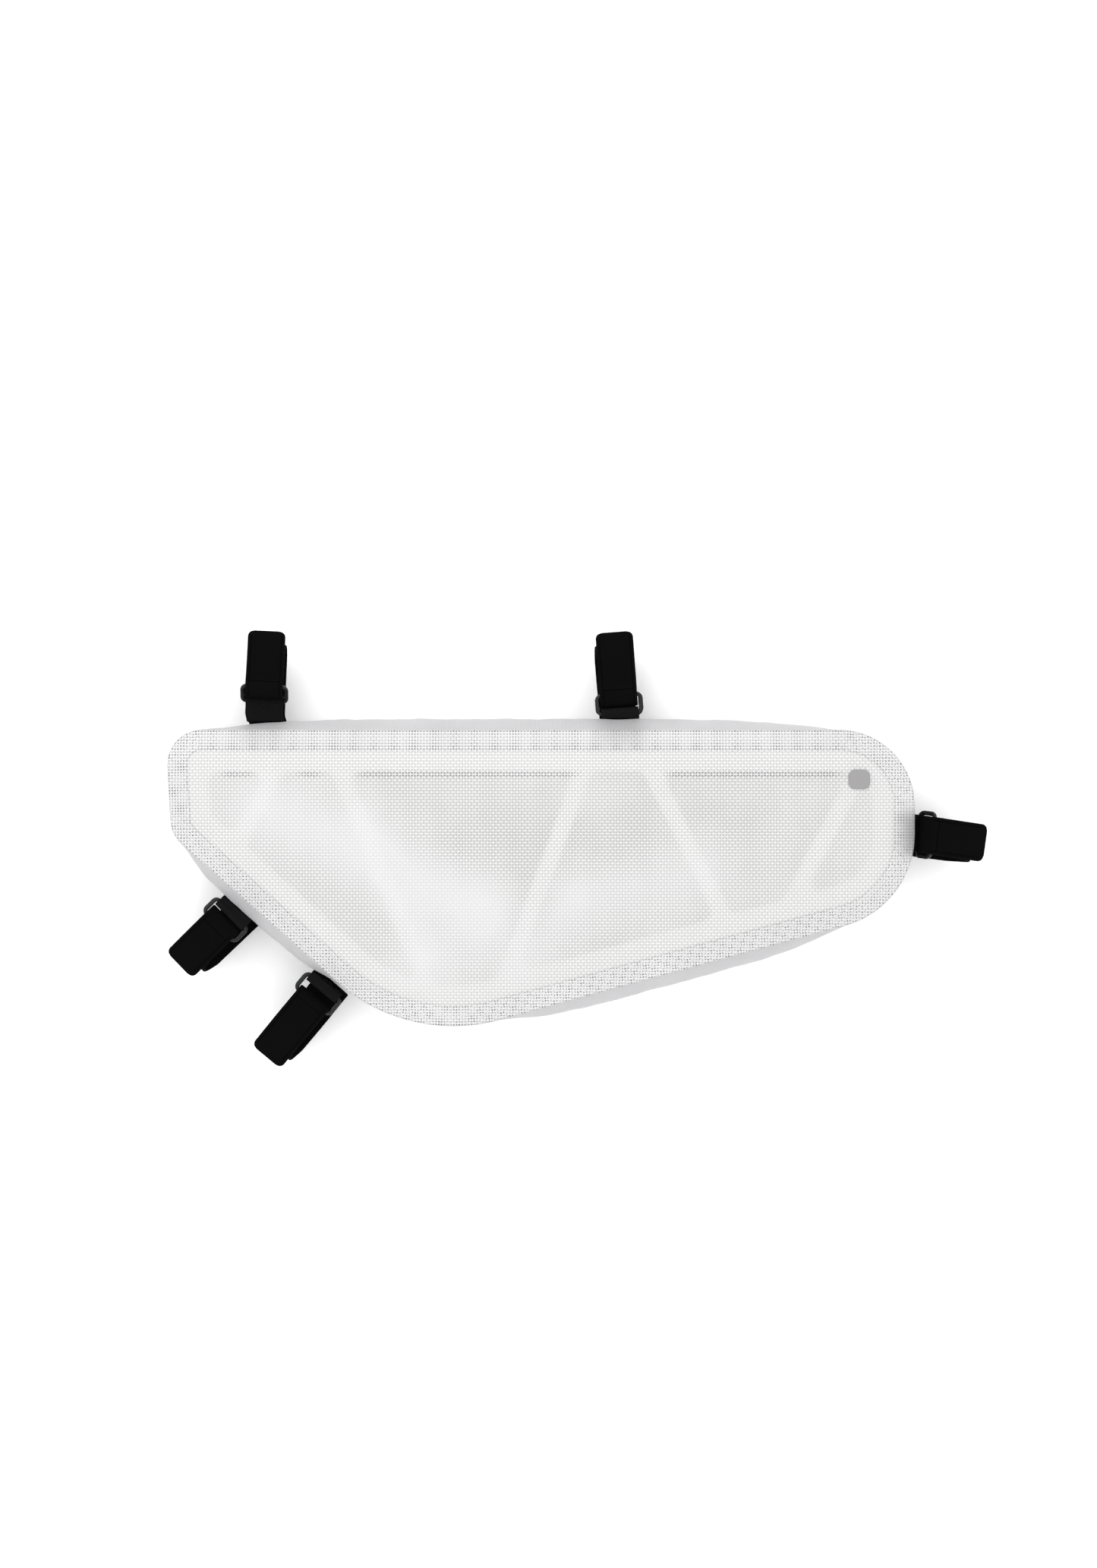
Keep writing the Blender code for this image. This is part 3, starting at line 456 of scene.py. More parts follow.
def cloth_place(tree):
    """The place on the cloth, in millimetres."""
    return shader_node(tree, "ShaderNodeUVMap", uv_map="cloth").outputs["UV"]


def relief(tree, height, strength, distance):
    """The normal of a surface with fine relief."""
    inputs = {"Height": height, "Strength": strength, "Distance": distance}
    return shader_node(tree, "ShaderNodeBump", inputs).outputs["Normal"]


def gloss(tree, colour, rough, normal, others=None):
    """A surface of a colour, a roughness and a relief, with its other inputs by name."""
    inputs = {"Base Color": colour, "Roughness": rough, "Normal": normal, **(others or {})}
    return shader_node(tree, "ShaderNodeBsdfPrincipled", inputs).outputs["BSDF"]


def grid_threads(tree, vector, pitch, width):
    """1 on the threads of an open square grid and 0 in its windows, from coordinates in millimetres.
    Across each thread the value is a smooth step of the distance to the thread's middle line."""
    split = shader_node(tree, "ShaderNodeSeparateXYZ", {"Vector": vector})
    waves = [maths(tree, "PINGPONG", split.outputs[axis], pitch / 2) for axis in ("X", "Y")]
    return smooth_step(tree, maths(tree, "MINIMUM", *waves), width / 2 * 1.25, width / 2 * 0.75)


def woven_dashes(tree, vector, row, period):
    """1 where a crosswise yarn lies on top of the plain weave and 0 where it dips under, in millimetres.
    For t, the share of half a row from its middle, it is a smooth step of
    (1 - t t) (1 + cos(2 pi (x / period + n / 2))) / 2 in the n-th row."""
    split = shader_node(tree, "ShaderNodeSeparateXYZ", {"Vector": vector})
    share = maths(tree, "DIVIDE", maths(tree, "PINGPONG", split.outputs["Y"], row / 2), row / 2)
    index = maths(tree, "FLOOR", maths(tree, "MULTIPLY_ADD", split.outputs["Y"], 1 / row, 0.5))
    phase = maths(tree, "MULTIPLY_ADD", index, 0.5, maths(tree, "DIVIDE", split.outputs["X"], period))
    wave = maths(tree, "COSINE", maths(tree, "MULTIPLY", phase, math.tau))
    wave = maths(tree, "MULTIPLY_ADD", wave, 0.5, 0.5)
    across = maths(tree, "SUBTRACT", 1.0, maths(tree, "MULTIPLY", share, share))
    return smooth_step(tree, maths(tree, "MULTIPLY", across, wave), 0.25, 0.8)


def painted_weld_shade(tree, windows):
    """The weld to the gusset's flange: painted shade in the pinholes where the windows of both layers meet,
    and a painted shadow line along the weld's inner side, from the point attributes round and inset, in
    millimetres. The windows also get the painted shadow of the stiffener's top rail, from a point attribute."""
    weld = FLANGE * 1000
    inset = attribute(tree, "inset")
    flange = shader_node(tree, "ShaderNodeCombineXYZ", {"X": attribute(tree, "round"), "Y": inset})
    second = grid_threads(tree, flange.outputs["Vector"], FLANGE_PITCH, FLANGE_THREAD)
    second = maths(tree, "SUBTRACT", 1.0, second)
    band = smooth_step(tree, inset, weld + 0.2, weld - 0.2)
    painted_shade = maths(tree, "MULTIPLY", maths(tree, "MULTIPLY", second, windows), band)
    # A painted shadow line along the weld's inner side, darker across the windows
    line = maths(tree, "ABSOLUTE", maths(tree, "SUBTRACT", inset, weld + 0.5))
    depth = maths(tree, "MULTIPLY_ADD", windows, 0.35, 0.06)
    line = maths(tree, "MULTIPLY", smooth_step(tree, line, 0.45, 0.1), depth)
    # The painted shadow of the stiffener's top rail, in the windows only
    rail_shadow = maths(tree, "MULTIPLY", windows, attribute(tree, "rail_shadow"))
    return maths(tree, "MAXIMUM", maths(tree, "MAXIMUM", painted_shade, line), rail_shadow), band


def scrim_material(name, colours, film, pitch, thread, rough, tint, dash_period=None):
    """Coated scrim: threads that let little through, and film between them that lets more through.
    colours are the thread's, the film's and a dash's, film is the film's opacity, and tint is the share of
    light that passes and scatters. The attribute shade darkens it. A panel's cloth, which has a dash_period,
    also has the dashes of the yarn that lies on top, its weld with painted shade in its pinholes and along
    its inner side, the painted shadow of the top rail, and a painted sheen along the creases that whitens
    it."""
    made, tree, surface = new_material(name)
    threads = grid_threads(tree, cloth_place(tree), pitch, thread)
    colour = mix_colours(tree, threads, colours[1], colours[0])
    opacity = maths(tree, "MULTIPLY_ADD", threads, THREAD_OPACITY - film, film)
    opacity = maths(tree, "ADD", opacity, maths(tree, "MULTIPLY_ADD", noise(tree, 22.0, 3.0), 0.25, -0.125))
    height = threads
    if dash_period:
        over = woven_dashes(tree, cloth_place(tree), pitch, dash_period)
        height = maths(tree, "MAXIMUM", maths(tree, "MULTIPLY", threads, 0.5), over)
        colour = mix_colours(tree, over, colour, colours[2])
        opacity = maths(tree, "MAXIMUM", opacity, maths(tree, "MULTIPLY", over, THREAD_OPACITY))
        # Painted shade at the weld and painted shadow below the top rail
        painted_shade, band = painted_weld_shade(tree, maths(tree, "SUBTRACT", 1.0, maths(tree, "MAXIMUM", threads, over)))
        colour = mix_colours(tree, maths(tree, "MULTIPLY", band, 0.8), colour, colours[2])
        colour = mix_colours(tree, maths(tree, "MULTIPLY", painted_shade, 0.9), colour, DEEP_SHADE)
        dense = maths(tree, "MAXIMUM", painted_shade, maths(tree, "MULTIPLY", band, 0.7))
        opacity = maths(tree, "MAXIMUM", opacity, dense)
        # Painted sheen along the creases, which whitens the cloth and lets less through
        crease_sheen = attribute(tree, "painted_sheen")
        colour = mix_colours(tree, maths(tree, "MULTIPLY", crease_sheen, 0.55), colour, SHEEN_COLOUR)
        opacity = maths(tree, "MULTIPLY_ADD", crease_sheen, 0.22, opacity)
    colour = mix_colours(tree, attribute(tree, "shade"), colour, SHADE)
    opacity = maths(tree, "MINIMUM", maths(tree, "MAXIMUM", opacity, 0.0), 1.0)
    height = maths(tree, "MULTIPLY_ADD", noise(tree, 900.0), 0.25, height)
    normal = relief(tree, height, 0.35, 0.0002)
    cloth = gloss(tree, colour, rough, normal, {"Alpha": opacity, "IOR": 1.45})
    glow = shader_node(tree, "ShaderNodeBsdfTranslucent", {"Color": colour, "Normal": normal})
    both = shader_node(tree, "ShaderNodeMixShader", {0: tint, 1: cloth, 2: glow.outputs["BSDF"]})
    tree.links.new(both.outputs["Shader"], surface)
    return made


def millimetres(*fields):
    """A uv grid in millimetres from fields in metres."""
    return np.stack(fields, axis=-1) * 1000


def weld_line(depth, middle, width):
    """1 on the line round at a depth, and 0 away from it: exp(-((depth - middle) / width) ^ 2)."""
    return np.exp(-(((depth - middle) / width) ** 2))


def front_surface(x, y):
    """Height and painted crease sheen of the front panel: its seam's level, plus the crown and the creases,
    less a dip along the weld's inner side."""
    depth, _ = seam_depth(x, y)
    rise, crease_sheen = crease_fields(x, y)
    fade = np.clip(depth / FLANGE - 0.9, 0, 1)
    dip = weld_line(depth, FLANGE + 0.0006, 0.0009) * 0.0004
    return FRONT_SEAM + FRONT_CROWN * crown_share(depth) + rise * fade - dip, crease_sheen * fade


def add_sheet(name, x, y, z, edge_level, fields, skip_row=None):
    """A panel's mesh. One more row and column all round turn its edge to the gusset. It keeps the fields,
    the length round the seam and the depth in from it, both in millimetres, for its material."""
    grid = np.pad(np.stack([x, y, z], axis=-1), ((1, 1), (1, 1), (0, 0)), "edge")
    for side in (grid[0], grid[-1], grid[:, 0], grid[:, -1]):
        side[:, 2] = edge_level
    piece = add_surface(name, grid, millimetres(grid[..., 0], grid[..., 1]), skip_row=skip_row)
    depth, along = seam_depth(x, y)
    for field, values in {**fields, "round": along * 1000, "inset": depth * 1000}.items():
        store(piece, field, np.pad(values, 1, "edge"))
    return piece


def add_front_panel():
    """Rows run up and columns run from the nose to the tail, between the seam's lower and upper y, both
    closer together at the seam."""
    x = panel_columns(PANEL_COLUMNS)
    lower, upper = panel_span(x)
    share = np.linspace(0, 1, PANEL_ROWS)[:, None]
    share = 0.7 * share + 0.15 * (1 - np.cos(math.pi * share))
    y = lower + (upper - lower) * share
    x = np.broadcast_to(x, y.shape)
    z, crease_sheen = front_surface(x, y)
    # A painted shadow line along the panel's edge
    edge = EDGE_SHADOW * weld_line(seam_depth(x, y)[0], 0.0, 0.0007)
    fields = {"painted_sheen": crease_sheen, "shade": edge + base_shade(x, y), "rail_shadow": RAIL_DARKNESS * rail_shade(x, y)}
    return add_sheet("front_panel_cloth", x, y, z, FRONT_SEAM - WELD_EDGE, fields)


PANEL_SCRIM = scrim_material(
    "panel_scrim",
    (PANEL_YARN, PANEL_FILM, PANEL_DASH),
    film=0.72,
    pitch=PANEL_PITCH,
    thread=PANEL_THREAD,
    rough=0.38,
    tint=0.18,
    dash_period=DASH_PERIOD,
)
dress(add_front_panel(), PANEL_SCRIM, "panel_cloth", "front_panel")


# Gusset
# The side wall: a long strip of thinner, greyer coated cloth, turned in and welded behind both panels, so
# that each panel has a double band at its edge. It bulges past the seam in the middle of the straight edges.

# How far behind its panel a flange lies, the web's margin to both, and how far in from the seam they start
CLOTH_GAP = 0.0013
WEB_MARGIN = 0.0004
FLANGE_START = 0.0006
GUSSET_STATIONS, WEB_STEPS, FLANGE_STEPS = 900, 36, 12
GUSSET_PITCH, GUSSET_THREAD = 0.85, 0.4
GUSSET_YARN = (0.52, 0.515, 0.525, 1.0)
GUSSET_FILM = (0.44, 0.435, 0.445, 1.0)
# Ripples of the web: how many go round, the angle at which each starts, and how far it stands out
PUCKER_TURNS = np.array([23, 41, 67, 96])
PUCKER_PHASES = np.array([0.4, 1.9, 3.3, 5.2])
PUCKER_HEIGHTS = np.array([0.00016, 0.00012, 0.00007, 0.00005])


def puckers(along, across):
    """Small upright ripples of the web: a sum of sines round the seam, strongest halfway up the web."""
    angle = math.tau * PUCKER_TURNS * along[:, None] / along[-1] + PUCKER_PHASES
    return (PUCKER_HEIGHTS * np.sin(angle)).sum(axis=1)[:, None] * np.sin(math.pi * across)[None, :]


def add_gusset():
    """A profile carried round the seam: in along the front flange, down the web, in along the back flange.
    Out from the seam the web is 4 b t (1 - t), for a bulge b and a share t of its height."""
    points, normals, bulges, along = evenly_round(GUSSET_STATIONS)
    inward = np.linspace(FLANGE, FLANGE_START, FLANGE_STEPS)
    share = np.linspace(1, 0, WEB_STEPS)
    high, low = FRONT_SEAM - CLOTH_GAP - WEB_MARGIN, BACK_SEAM + CLOTH_GAP + WEB_MARGIN
    web = bulges[:, None] * (4 * share * (1 - share)) + puckers(along, share)
    flange = np.broadcast_to(-inward, (len(points), FLANGE_STEPS))
    out = np.concatenate([flange, web, flange[:, ::-1]], axis=1)
    front = FRONT_SEAM - CLOTH_GAP + FRONT_CROWN * crown_share(inward)
    back = BACK_SEAM + CLOTH_GAP - BACK_CROWN * crown_share(inward[::-1])
    level = np.concatenate([front, low + (high - low) * share, back])
    turned = FLANGE - inward
    run = np.concatenate([turned, FLANGE + (1 - share) * SEAM_DEPTH, 2 * FLANGE + SEAM_DEPTH - inward[::-1]])
    flat = points[:, None, :] + normals[:, None, :] * out[:, :, None]
    grid = np.concatenate([flat, np.broadcast_to(level, out.shape)[..., None]], axis=-1)
    uv = millimetres(np.broadcast_to(along[:, None], out.shape), np.broadcast_to(run, out.shape))
    piece = add_surface("gusset_cloth", grid[:-1], uv, wrap=(True, False))
    store(piece, "shade", base_shade(grid[:-1, :, 0], grid[:-1, :, 1]))
    return piece


GUSSET_SCRIM = scrim_material(
    "gusset_scrim",
    (GUSSET_YARN, GUSSET_FILM),
    film=0.72,
    pitch=GUSSET_PITCH,
    thread=GUSSET_THREAD,
    rough=0.42,
    tint=0.15,
)
dress(add_gusset(), GUSSET_SCRIM, "gusset_cloth", "gusset")


# Stiffener
# A flat truss cut from frosted plastic sheet, which lies loose behind the front panel and keeps it in shape.
# The frame's own solid has its true form, so only its finish is given here.

FROST = (0.93, 0.925, 0.93, 1.0)
FROST_HAZE = (0.97, 0.965, 0.97, 1.0)


def frosted_material():
    """Milky plastic with a fine haze of scratches."""
    made, tree, surface = new_material("frosted_sheet")
    colour = mix_colours(tree, noise(tree, 60.0, 4.0), FROST, FROST_HAZE)
    normal = relief(tree, noise(tree, 1500.0), 0.1, 0.0001)
    tree.links.new(gloss(tree, colour, 0.55, normal), surface)
    return made


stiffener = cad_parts["front_stiffener"]
stiffener.data.materials.clear()
stiffener.data.materials.append(frosted_material())


# Back panel
# The same scrim as the front panel, crowned a little less, with a long round-ended slot below the top edge,
# where the zip is welded in.

ZIP_FROM_TOP = 0.0405
ZIP_FROM_ENDS = 0.024
SLOT_WIDTH = 0.010
ZIP_Y = TOP - ZIP_FROM_TOP
BACK_ROWS_BELOW, BACK_ROWS_ABOVE = 120, 50


def back_surface(x, y):
    """Height of the back panel: the seam's level less the crown."""
    return BACK_SEAM - BACK_CROWN * crown_share(seam_depth(x, y)[0])


def seam_ends(y):
    """The seam's lowest and highest x at a height y."""
    near = np.abs(SEAM_POINTS[:-1, 1] - y) < 0.002
    x = SEAM_POINTS[:-1, 0][near]
    return x.min(), x.max()


NOSE_END, TAIL_END = seam_ends(ZIP_Y)
SLOT_START = NOSE_END + ZIP_FROM_ENDS
SLOT_END = TAIL_END - ZIP_FROM_ENDS
ZIP_X = (SLOT_START + SLOT_END) / 2
SLOT_LENGTH = SLOT_END - SLOT_START


def slot_half(x):
    """Half the slot's height at each x: even, and round at both ends."""
    past = np.clip((np.abs(x - ZIP_X) - (SLOT_LENGTH - SLOT_WIDTH) / 2) / (SLOT_WIDTH / 2), 0, 1)
    return SLOT_WIDTH / 2 * np.sqrt(1 - past**2)


def add_back_panel():
    """Rows run down from the top edge to the slot and from the slot to the bottom edge, so the sheet faces
    down. The quads across the slot are left out, and its two sides meet beyond its ends."""
    ends = (SLOT_START + SLOT_WIDTH / 4, SLOT_END - SLOT_WIDTH / 4)
    near_ends = [end + np.linspace(-0.003, 0.003, 15) for end in ends]
    x = np.sort(np.concatenate([panel_columns(PANEL_COLUMNS), *near_ends]))
    lower, upper = panel_span(x)
    middle, half = np.clip(ZIP_Y, lower, upper), slot_half(x)
    above = np.linspace(0, 1, BACK_ROWS_ABOVE)[:, None]
    below = np.linspace(0, 1, BACK_ROWS_BELOW)[:, None]
    y = np.concatenate(
        [upper + (middle + half - upper) * above, middle - half + (lower - middle + half) * below]
    )
    x = np.broadcast_to(x, y.shape)
    z = back_surface(x, y)
    piece = add_sheet("back_panel_cloth", x, y, z, BACK_SEAM + WELD_EDGE, {}, skip_row=BACK_ROWS_ABOVE)
    merge(piece)
    return piece


dress(add_back_panel(), PANEL_SCRIM, "panel_cloth", "back_panel")


# Zip
# Pale woven tape behind the slot, dipping in a shallow gutter to a nylon coil, with a small metal slider and
# its flat pull lying along the coil.

FABRIC = 0.001
GAP = 0.0003
TAPE_WIDTH = 0.017
TAPE_THICKNESS = 0.0008
TAPE_LAP = 0.0095
TAPE_CORNER = 0.003
GUTTER_DEPTH = 0.0021
COIL_PITCH = 0.0015
COIL_WIRE = 0.00032
COIL_REACH = 0.0024
COIL_HEIGHT = 0.0006
SLIDER_LENGTH = 0.011
SLIDER_WIDTH = 0.0065
SLIDER_FROM_END = 0.004
PULL_LENGTH = 0.022
PULL_WIDTH = 0.004
PULL_THICKNESS = 0.0011
PULL_LEVEL = 0.0014
FLOOR_CLEARANCE = 0.0004
TAPE_WHITE = (0.52, 0.515, 0.51, 1.0)
COIL_WHITE = (0.50, 0.495, 0.49, 1.0)
SLIDER_GREY = (0.36, 0.36, 0.365, 1.0)
X_AXIS, Y_AXIS, Z_AXIS = np.eye(3)


def stadium(half_width, half_height, across=8, round_steps=6):
    """A flat band's cross-section, anticlockwise: two straight sides and two half circles."""
    reach = np.atleast_1d(half_width - half_height)
    run = np.linspace(-1, 1, across)[:, None] * reach
    turn = np.linspace(-90, 90, round_steps + 2)[1:-1, None] * math.pi / 180
    flat = np.full_like(run, half_height)
    right = reach + half_height * np.cos(turn)
    rise = np.broadcast_to(half_height * np.sin(turn), right.shape)
    a = np.concatenate([run, right, -run, -right])
    b = np.concatenate([-flat, rise, flat, -rise])
    return np.stack([a.T, b.T], axis=-1)


def circle(radius, sides=6):
    """A round cross-section, anticlockwise."""
    angle = np.arange(sides) * math.tau / sides
    return radius * np.stack([np.cos(angle), np.sin(angle)], axis=1)[None]


def carry(name, line, side, lift, profile):
    """A profile carried along a line: each point is line + a side + b lift for the profile's (a, b).
    Profiles may change along the line, whose ends are capped."""
    profile = np.broadcast_to(profile, (len(line), *profile.shape[1:]))
    side, lift = (np.broadcast_to(direction, line.shape)[:, None] for direction in (side, lift))
    grid = line[:, None] + profile[..., :1] * side + profile[..., 1:] * lift
    around = run_lengths(np.concatenate([profile[0], profile[0, :1]]))
    uv = millimetres(*np.meshgrid(run_lengths(line), around, indexing="ij"))
    piece = add_surface(name, grid, uv, wrap=(False, True), caps=True)
    face_outwards(piece)
    return piece


def tape_level(x, y):
    """Height of the tape's lower face: close to the panel at its edges, and higher in the gutter."""
    seat = back_surface(x, y) + FABRIC + GAP
    across = np.clip((SLOT_WIDTH / 2 - np.abs(y - ZIP_Y)) / TAPE_THICKNESS, 0, 1)
    along = np.clip((SLOT_LENGTH / 2 - np.abs(x - ZIP_X)) / SLOT_WIDTH * 3, 0, 1)
    return seat + GUTTER_DEPTH * np.minimum(across, along)


def add_tape():
    """A slab carried from the nose to the tail. At both ends its half width falls by r - sqrt(r^2 - d^2)."""
    x = np.linspace(SLOT_START - TAPE_LAP, SLOT_END + TAPE_LAP, 300)
    past = np.clip(1 - (np.minimum(x - x[0], x[-1] - x)) / TAPE_CORNER, 0, 0.999)
    half = TAPE_WIDTH / 2 - TAPE_CORNER * (1 - np.sqrt(1 - past**2))
    profile = stadium(half, TAPE_THICKNESS / 2, across=28, round_steps=3)
    line = np.stack([x, np.full_like(x, ZIP_Y), np.zeros_like(x)], axis=1)
    piece = carry("zip_tape", line, Y_AXIS, Z_AXIS, profile)
    points = vertices(piece)
    points[:, 2] += tape_level(points[:, 0], points[:, 1]) + TAPE_THICKNESS / 2
    place(piece, points)
    return piece


def unit_rows(vectors):
    """Each row at length 1."""
    return vectors / np.linalg.norm(vectors, axis=1)[:, None]


def add_coil():
    """Two flat spirals of monofilament, mirrored and half a turn apart: for a side s and a turn t, they
    follow y = s (m + r cos t), z = h sin t."""
    turns = int((SLOT_LENGTH - 2 * SLOT_WIDTH) / COIL_PITCH)
    t = np.linspace(0, math.tau * turns, 10 * turns)
    pieces = []
    for name, side, phase in (("left", -1, 0.0), ("right", 1, math.pi)):
        x = ZIP_X + COIL_PITCH * (t / math.tau - turns / 2)
        y = ZIP_Y + side * (COIL_REACH * 0.44 + COIL_REACH * 0.5 * np.cos(t + phase))
        level = tape_level(x, np.full_like(x, ZIP_Y)) - COIL_HEIGHT / 2
        line = np.stack([x, y, level + COIL_HEIGHT / 2 * np.sin(t + phase) * side], axis=1)
        run = unit_rows(np.gradient(line, axis=0))
        first = unit_rows(np.cross(run, X_AXIS))
        pieces.append(carry(f"zip_coil_{name}", line, first, np.cross(run, first), circle(COIL_WIRE)))
    return pieces


def rounded_block(name, centre, size, power=0.35, steps=(24, 32)):
    """A box with soft edges: a superellipsoid, with each cosine and sine raised to a power below 1."""
    polar = np.linspace(-math.pi / 2, math.pi / 2, steps[0])
    turn = np.linspace(0, math.tau, steps[1], endpoint=False)
    up, flat = np.sin(polar), np.cos(polar)
    ring = np.stack([np.cos(turn), np.sin(turn)], axis=1)
    ring = np.sign(ring) * np.abs(ring) ** power
    grid = np.empty((steps[0], steps[1], 3))
    grid[..., :2] = (np.abs(flat) ** power)[:, None, None] * ring[None]
    grid[..., 2] = (np.sign(up) * np.abs(up) ** power)[:, None]
    grid = grid * np.array(size) / 2 + np.array(centre)
    uv = millimetres(*np.meshgrid(polar * 0.01, np.linspace(0, 0.02, steps[1] + 1), indexing="ij"))
    piece = add_surface(name, grid, uv, wrap=(False, True))
    merge(piece)
    face_outwards(piece)
    return piece


def woven_material(name, colour, rib_axis, rib_pitch, rough, rib_depth=0.5, specular=0.12):
    """Narrow woven tape: ribs across it, a fine twill along it, and loose fibre over both. The raised yarn
    carries a painted sheen.
    """
    made, tree, surface = new_material(name)
    split = shader_node(tree, "ShaderNodeSeparateXYZ", {"Vector": cloth_place(tree)})
    rib = maths(tree, "PINGPONG", split.outputs[rib_axis], rib_pitch / 2)
    rib = maths(tree, "SINE", maths(tree, "MULTIPLY", rib, math.pi / rib_pitch))
    other = "Y" if rib_axis == "X" else "X"
    yarn = maths(tree, "PINGPONG", split.outputs[other], rib_pitch * 0.4)
    yarn = maths(tree, "MULTIPLY", yarn, 1.2 / rib_pitch)
    weave = maths(tree, "MULTIPLY_ADD", yarn, 0.5, rib)
    height = maths(tree, "MULTIPLY_ADD", noise(tree, 2600.0, 3.0), 0.6, weave)
    # Painted sheen: the raised yarn is painted lighter
    light = tuple(min(1.0, c * 1.7 + 0.0008) for c in colour[:3]) + (1.0,)
    paint = mix_colours(tree, maths(tree, "MULTIPLY", height, 0.45), colour, light)
    paint = mix_colours(tree, maths(tree, "MULTIPLY", noise(tree, 120.0, 3.0), 0.5), paint, colour)
    normal = relief(tree, height, rib_depth, 0.0002)
    tree.links.new(gloss(tree, paint, rough, normal, {"Specular IOR Level": specular}), surface)
    return made


def coated_material(name, colour, rough, metallic=0.0, specular=0.5):
    """Paint or bare metal with a fine orange peel and faint scuffs."""
    made, tree, surface = new_material(name)
    inputs = {"Value": noise(tree, 260.0, 4.0), "To Min": rough * 0.7, "To Max": rough * 1.5}
    scuffed = shader_node(tree, "ShaderNodeMapRange", inputs).outputs["Result"]
    others = {"Metallic": metallic, "Specular IOR Level": specular}
    normal = relief(tree, noise(tree, 1800.0), 0.08, 0.0001)
    tree.links.new(gloss(tree, colour, scuffed, normal, others), surface)
    return made


TAPE_CLOTH = woven_material("zip_tape_cloth", TAPE_WHITE, "X", 0.9, 0.8, 0.4, 0.4)
COIL_NYLON = coated_material("coil_nylon", COIL_WHITE, 0.35)
SLIDER_METAL = coated_material("slider_metal", SLIDER_GREY, 0.3, metallic=1.0)
dress(add_tape(), TAPE_CLOTH, "zip_tape", "zip")
for coil in add_coil():
    dress(coil, COIL_NYLON, "zip_tape")
slider_x = SLOT_END - SLIDER_FROM_END - SLIDER_LENGTH / 2
pull_x = slider_x - SLIDER_LENGTH / 2 - PULL_LENGTH / 2
slider_top = GUTTER_DEPTH + FABRIC + GAP
slider_size = (SLIDER_LENGTH, SLIDER_WIDTH, slider_top - FLOOR_CLEARANCE)
pull_size = (PULL_LENGTH, PULL_WIDTH, PULL_THICKNESS)
slider = rounded_block("zip_slider", (slider_x, ZIP_Y, (slider_top + FLOOR_CLEARANCE) / 2), slider_size)
pull = rounded_block("zip_pull", (pull_x, ZIP_Y, PULL_LEVEL), pull_size, 0.25)
for metal in (slider, pull):
    dress(metal, SLIDER_METAL, "zip_tape")


# Badge
# A blank rounded square of grey film near the tail's top corner, pressed flat on the front panel.

BADGE_SIZE = (0.0142, 0.0129)
BADGE_RADIUS = 0.0044
BADGE_THICKNESS = 0.0005
BADGE_FROM_TAIL = 0.0369
BADGE_FROM_TOP = 0.0327
BADGE_GREY = (0.235, 0.23, 0.233, 1.0)
# Rings of the patch, from its middle out and down: share of its outline and share of its thickness
BADGE_SHARES = (0.0, 0.2, 0.4, 0.6, 0.8, 0.9, 0.96, 0.985, 0.995, 1.0, 1.0)
BADGE_LIFTS = (1, 1, 1, 1, 1, 1, 1, 0.92, 0.72, 0.35, -0.3)


def rounded_box(width, height, radius, steps=16):
    """A rectangle with round corners about the origin, anticlockwise."""
    points = []
    for quarter, (side, up) in enumerate(((1, 1), (-1, 1), (-1, -1), (1, -1))):
        angle = math.pi / 2 * (quarter + np.linspace(0, 1, steps))
        normal = np.stack([np.cos(angle), np.sin(angle)], axis=1)
        points.append(np.array([side * (width / 2 - radius), up * (height / 2 - radius)]) + radius * normal)
    return np.concatenate(points)


def add_badge():
    """Rings of one rounded square. Its height over the panel is even, and falls steeply at its edge."""
    outline = rounded_box(*BADGE_SIZE, BADGE_RADIUS)
    share = np.array(BADGE_SHARES)[:, None]
    lift = np.array(BADGE_LIFTS)[:, None] * (BADGE_THICKNESS + GAP)
    x = RIGHT - BADGE_FROM_TAIL + share * outline[:, 0]
    y = TOP - BADGE_FROM_TOP + share * outline[:, 1]
    z = front_surface(x, y)[0] + lift
    uv = millimetres(np.pad(x, ((0, 0), (0, 1)), "wrap"), np.pad(y, ((0, 0), (0, 1)), "wrap"))
    piece = add_surface("badge_patch", np.stack([x, y, z], axis=-1), uv, wrap=(False, True))
    merge(piece)
    face_outwards(piece)
    return piece


def film_material(name, colour, rough):
    """Matt film over scrim, whose grid shows faintly."""
    made, tree, surface = new_material(name)
    threads = grid_threads(tree, cloth_place(tree), 0.95, 0.5)
    paint = mix_colours(tree, threads, tuple(c * 0.9 for c in colour[:3]) + (1.0,), colour)
    height = maths(tree, "MULTIPLY_ADD", noise(tree, 2500.0), 0.4, threads)
    tree.links.new(gloss(tree, paint, rough, relief(tree, height, 0.15, 0.0001)), surface)
    return made


dress(add_badge(), film_material("badge_film", BADGE_GREY, 0.5), "badge_film", "badge")


# Straps
# Each strap is black hook-and-loop webbing, 25 mm wide. It is sewn to the gusset, goes out and round a loop,
# comes back through a ring and is pressed onto itself, with its tip outside. A sewn tab holds the ring.

STRAP_WIDTH = 0.025
STRAP_THICKNESS = 0.0018
TAB_THICKNESS = 0.0015
TIP_RADIUS = 0.004
RING_BAR = 0.0031
RING_THICKNESS = 0.0026
RING_PLAY = 0.0004
RING_OPENING = 0.009
RING_CORNER = 0.0046
RING_EYE_CORNER = 0.0006
RING_LEVEL = (BACK_SEAM + FRONT_SEAM) / 2
BAR_OFFSET = (RING_OPENING + RING_BAR) / 2
TAB_SLACK = 0.0008
LEG_RADIUS = 0.0022
LOOP_DROP = 0.0185
LEG_LENGTH = 0.4 * (LOOP_DROP - 2 * LEG_RADIUS - RING_BAR / 2 - GAP - TAB_THICKNESS / 2)
DROOP = 0.003
BEND_RUN = 0.006
TAPER_RUN = 0.008
LEAST_TAPER = 0.0005
TAB_LENGTH = 0.0104
STRAP_REACH = 0.068
STATION = 0.0006
STITCH_PITCH = 0.0026
STITCH_WIRE = 0.00026
STITCH_INSET = 0.0023
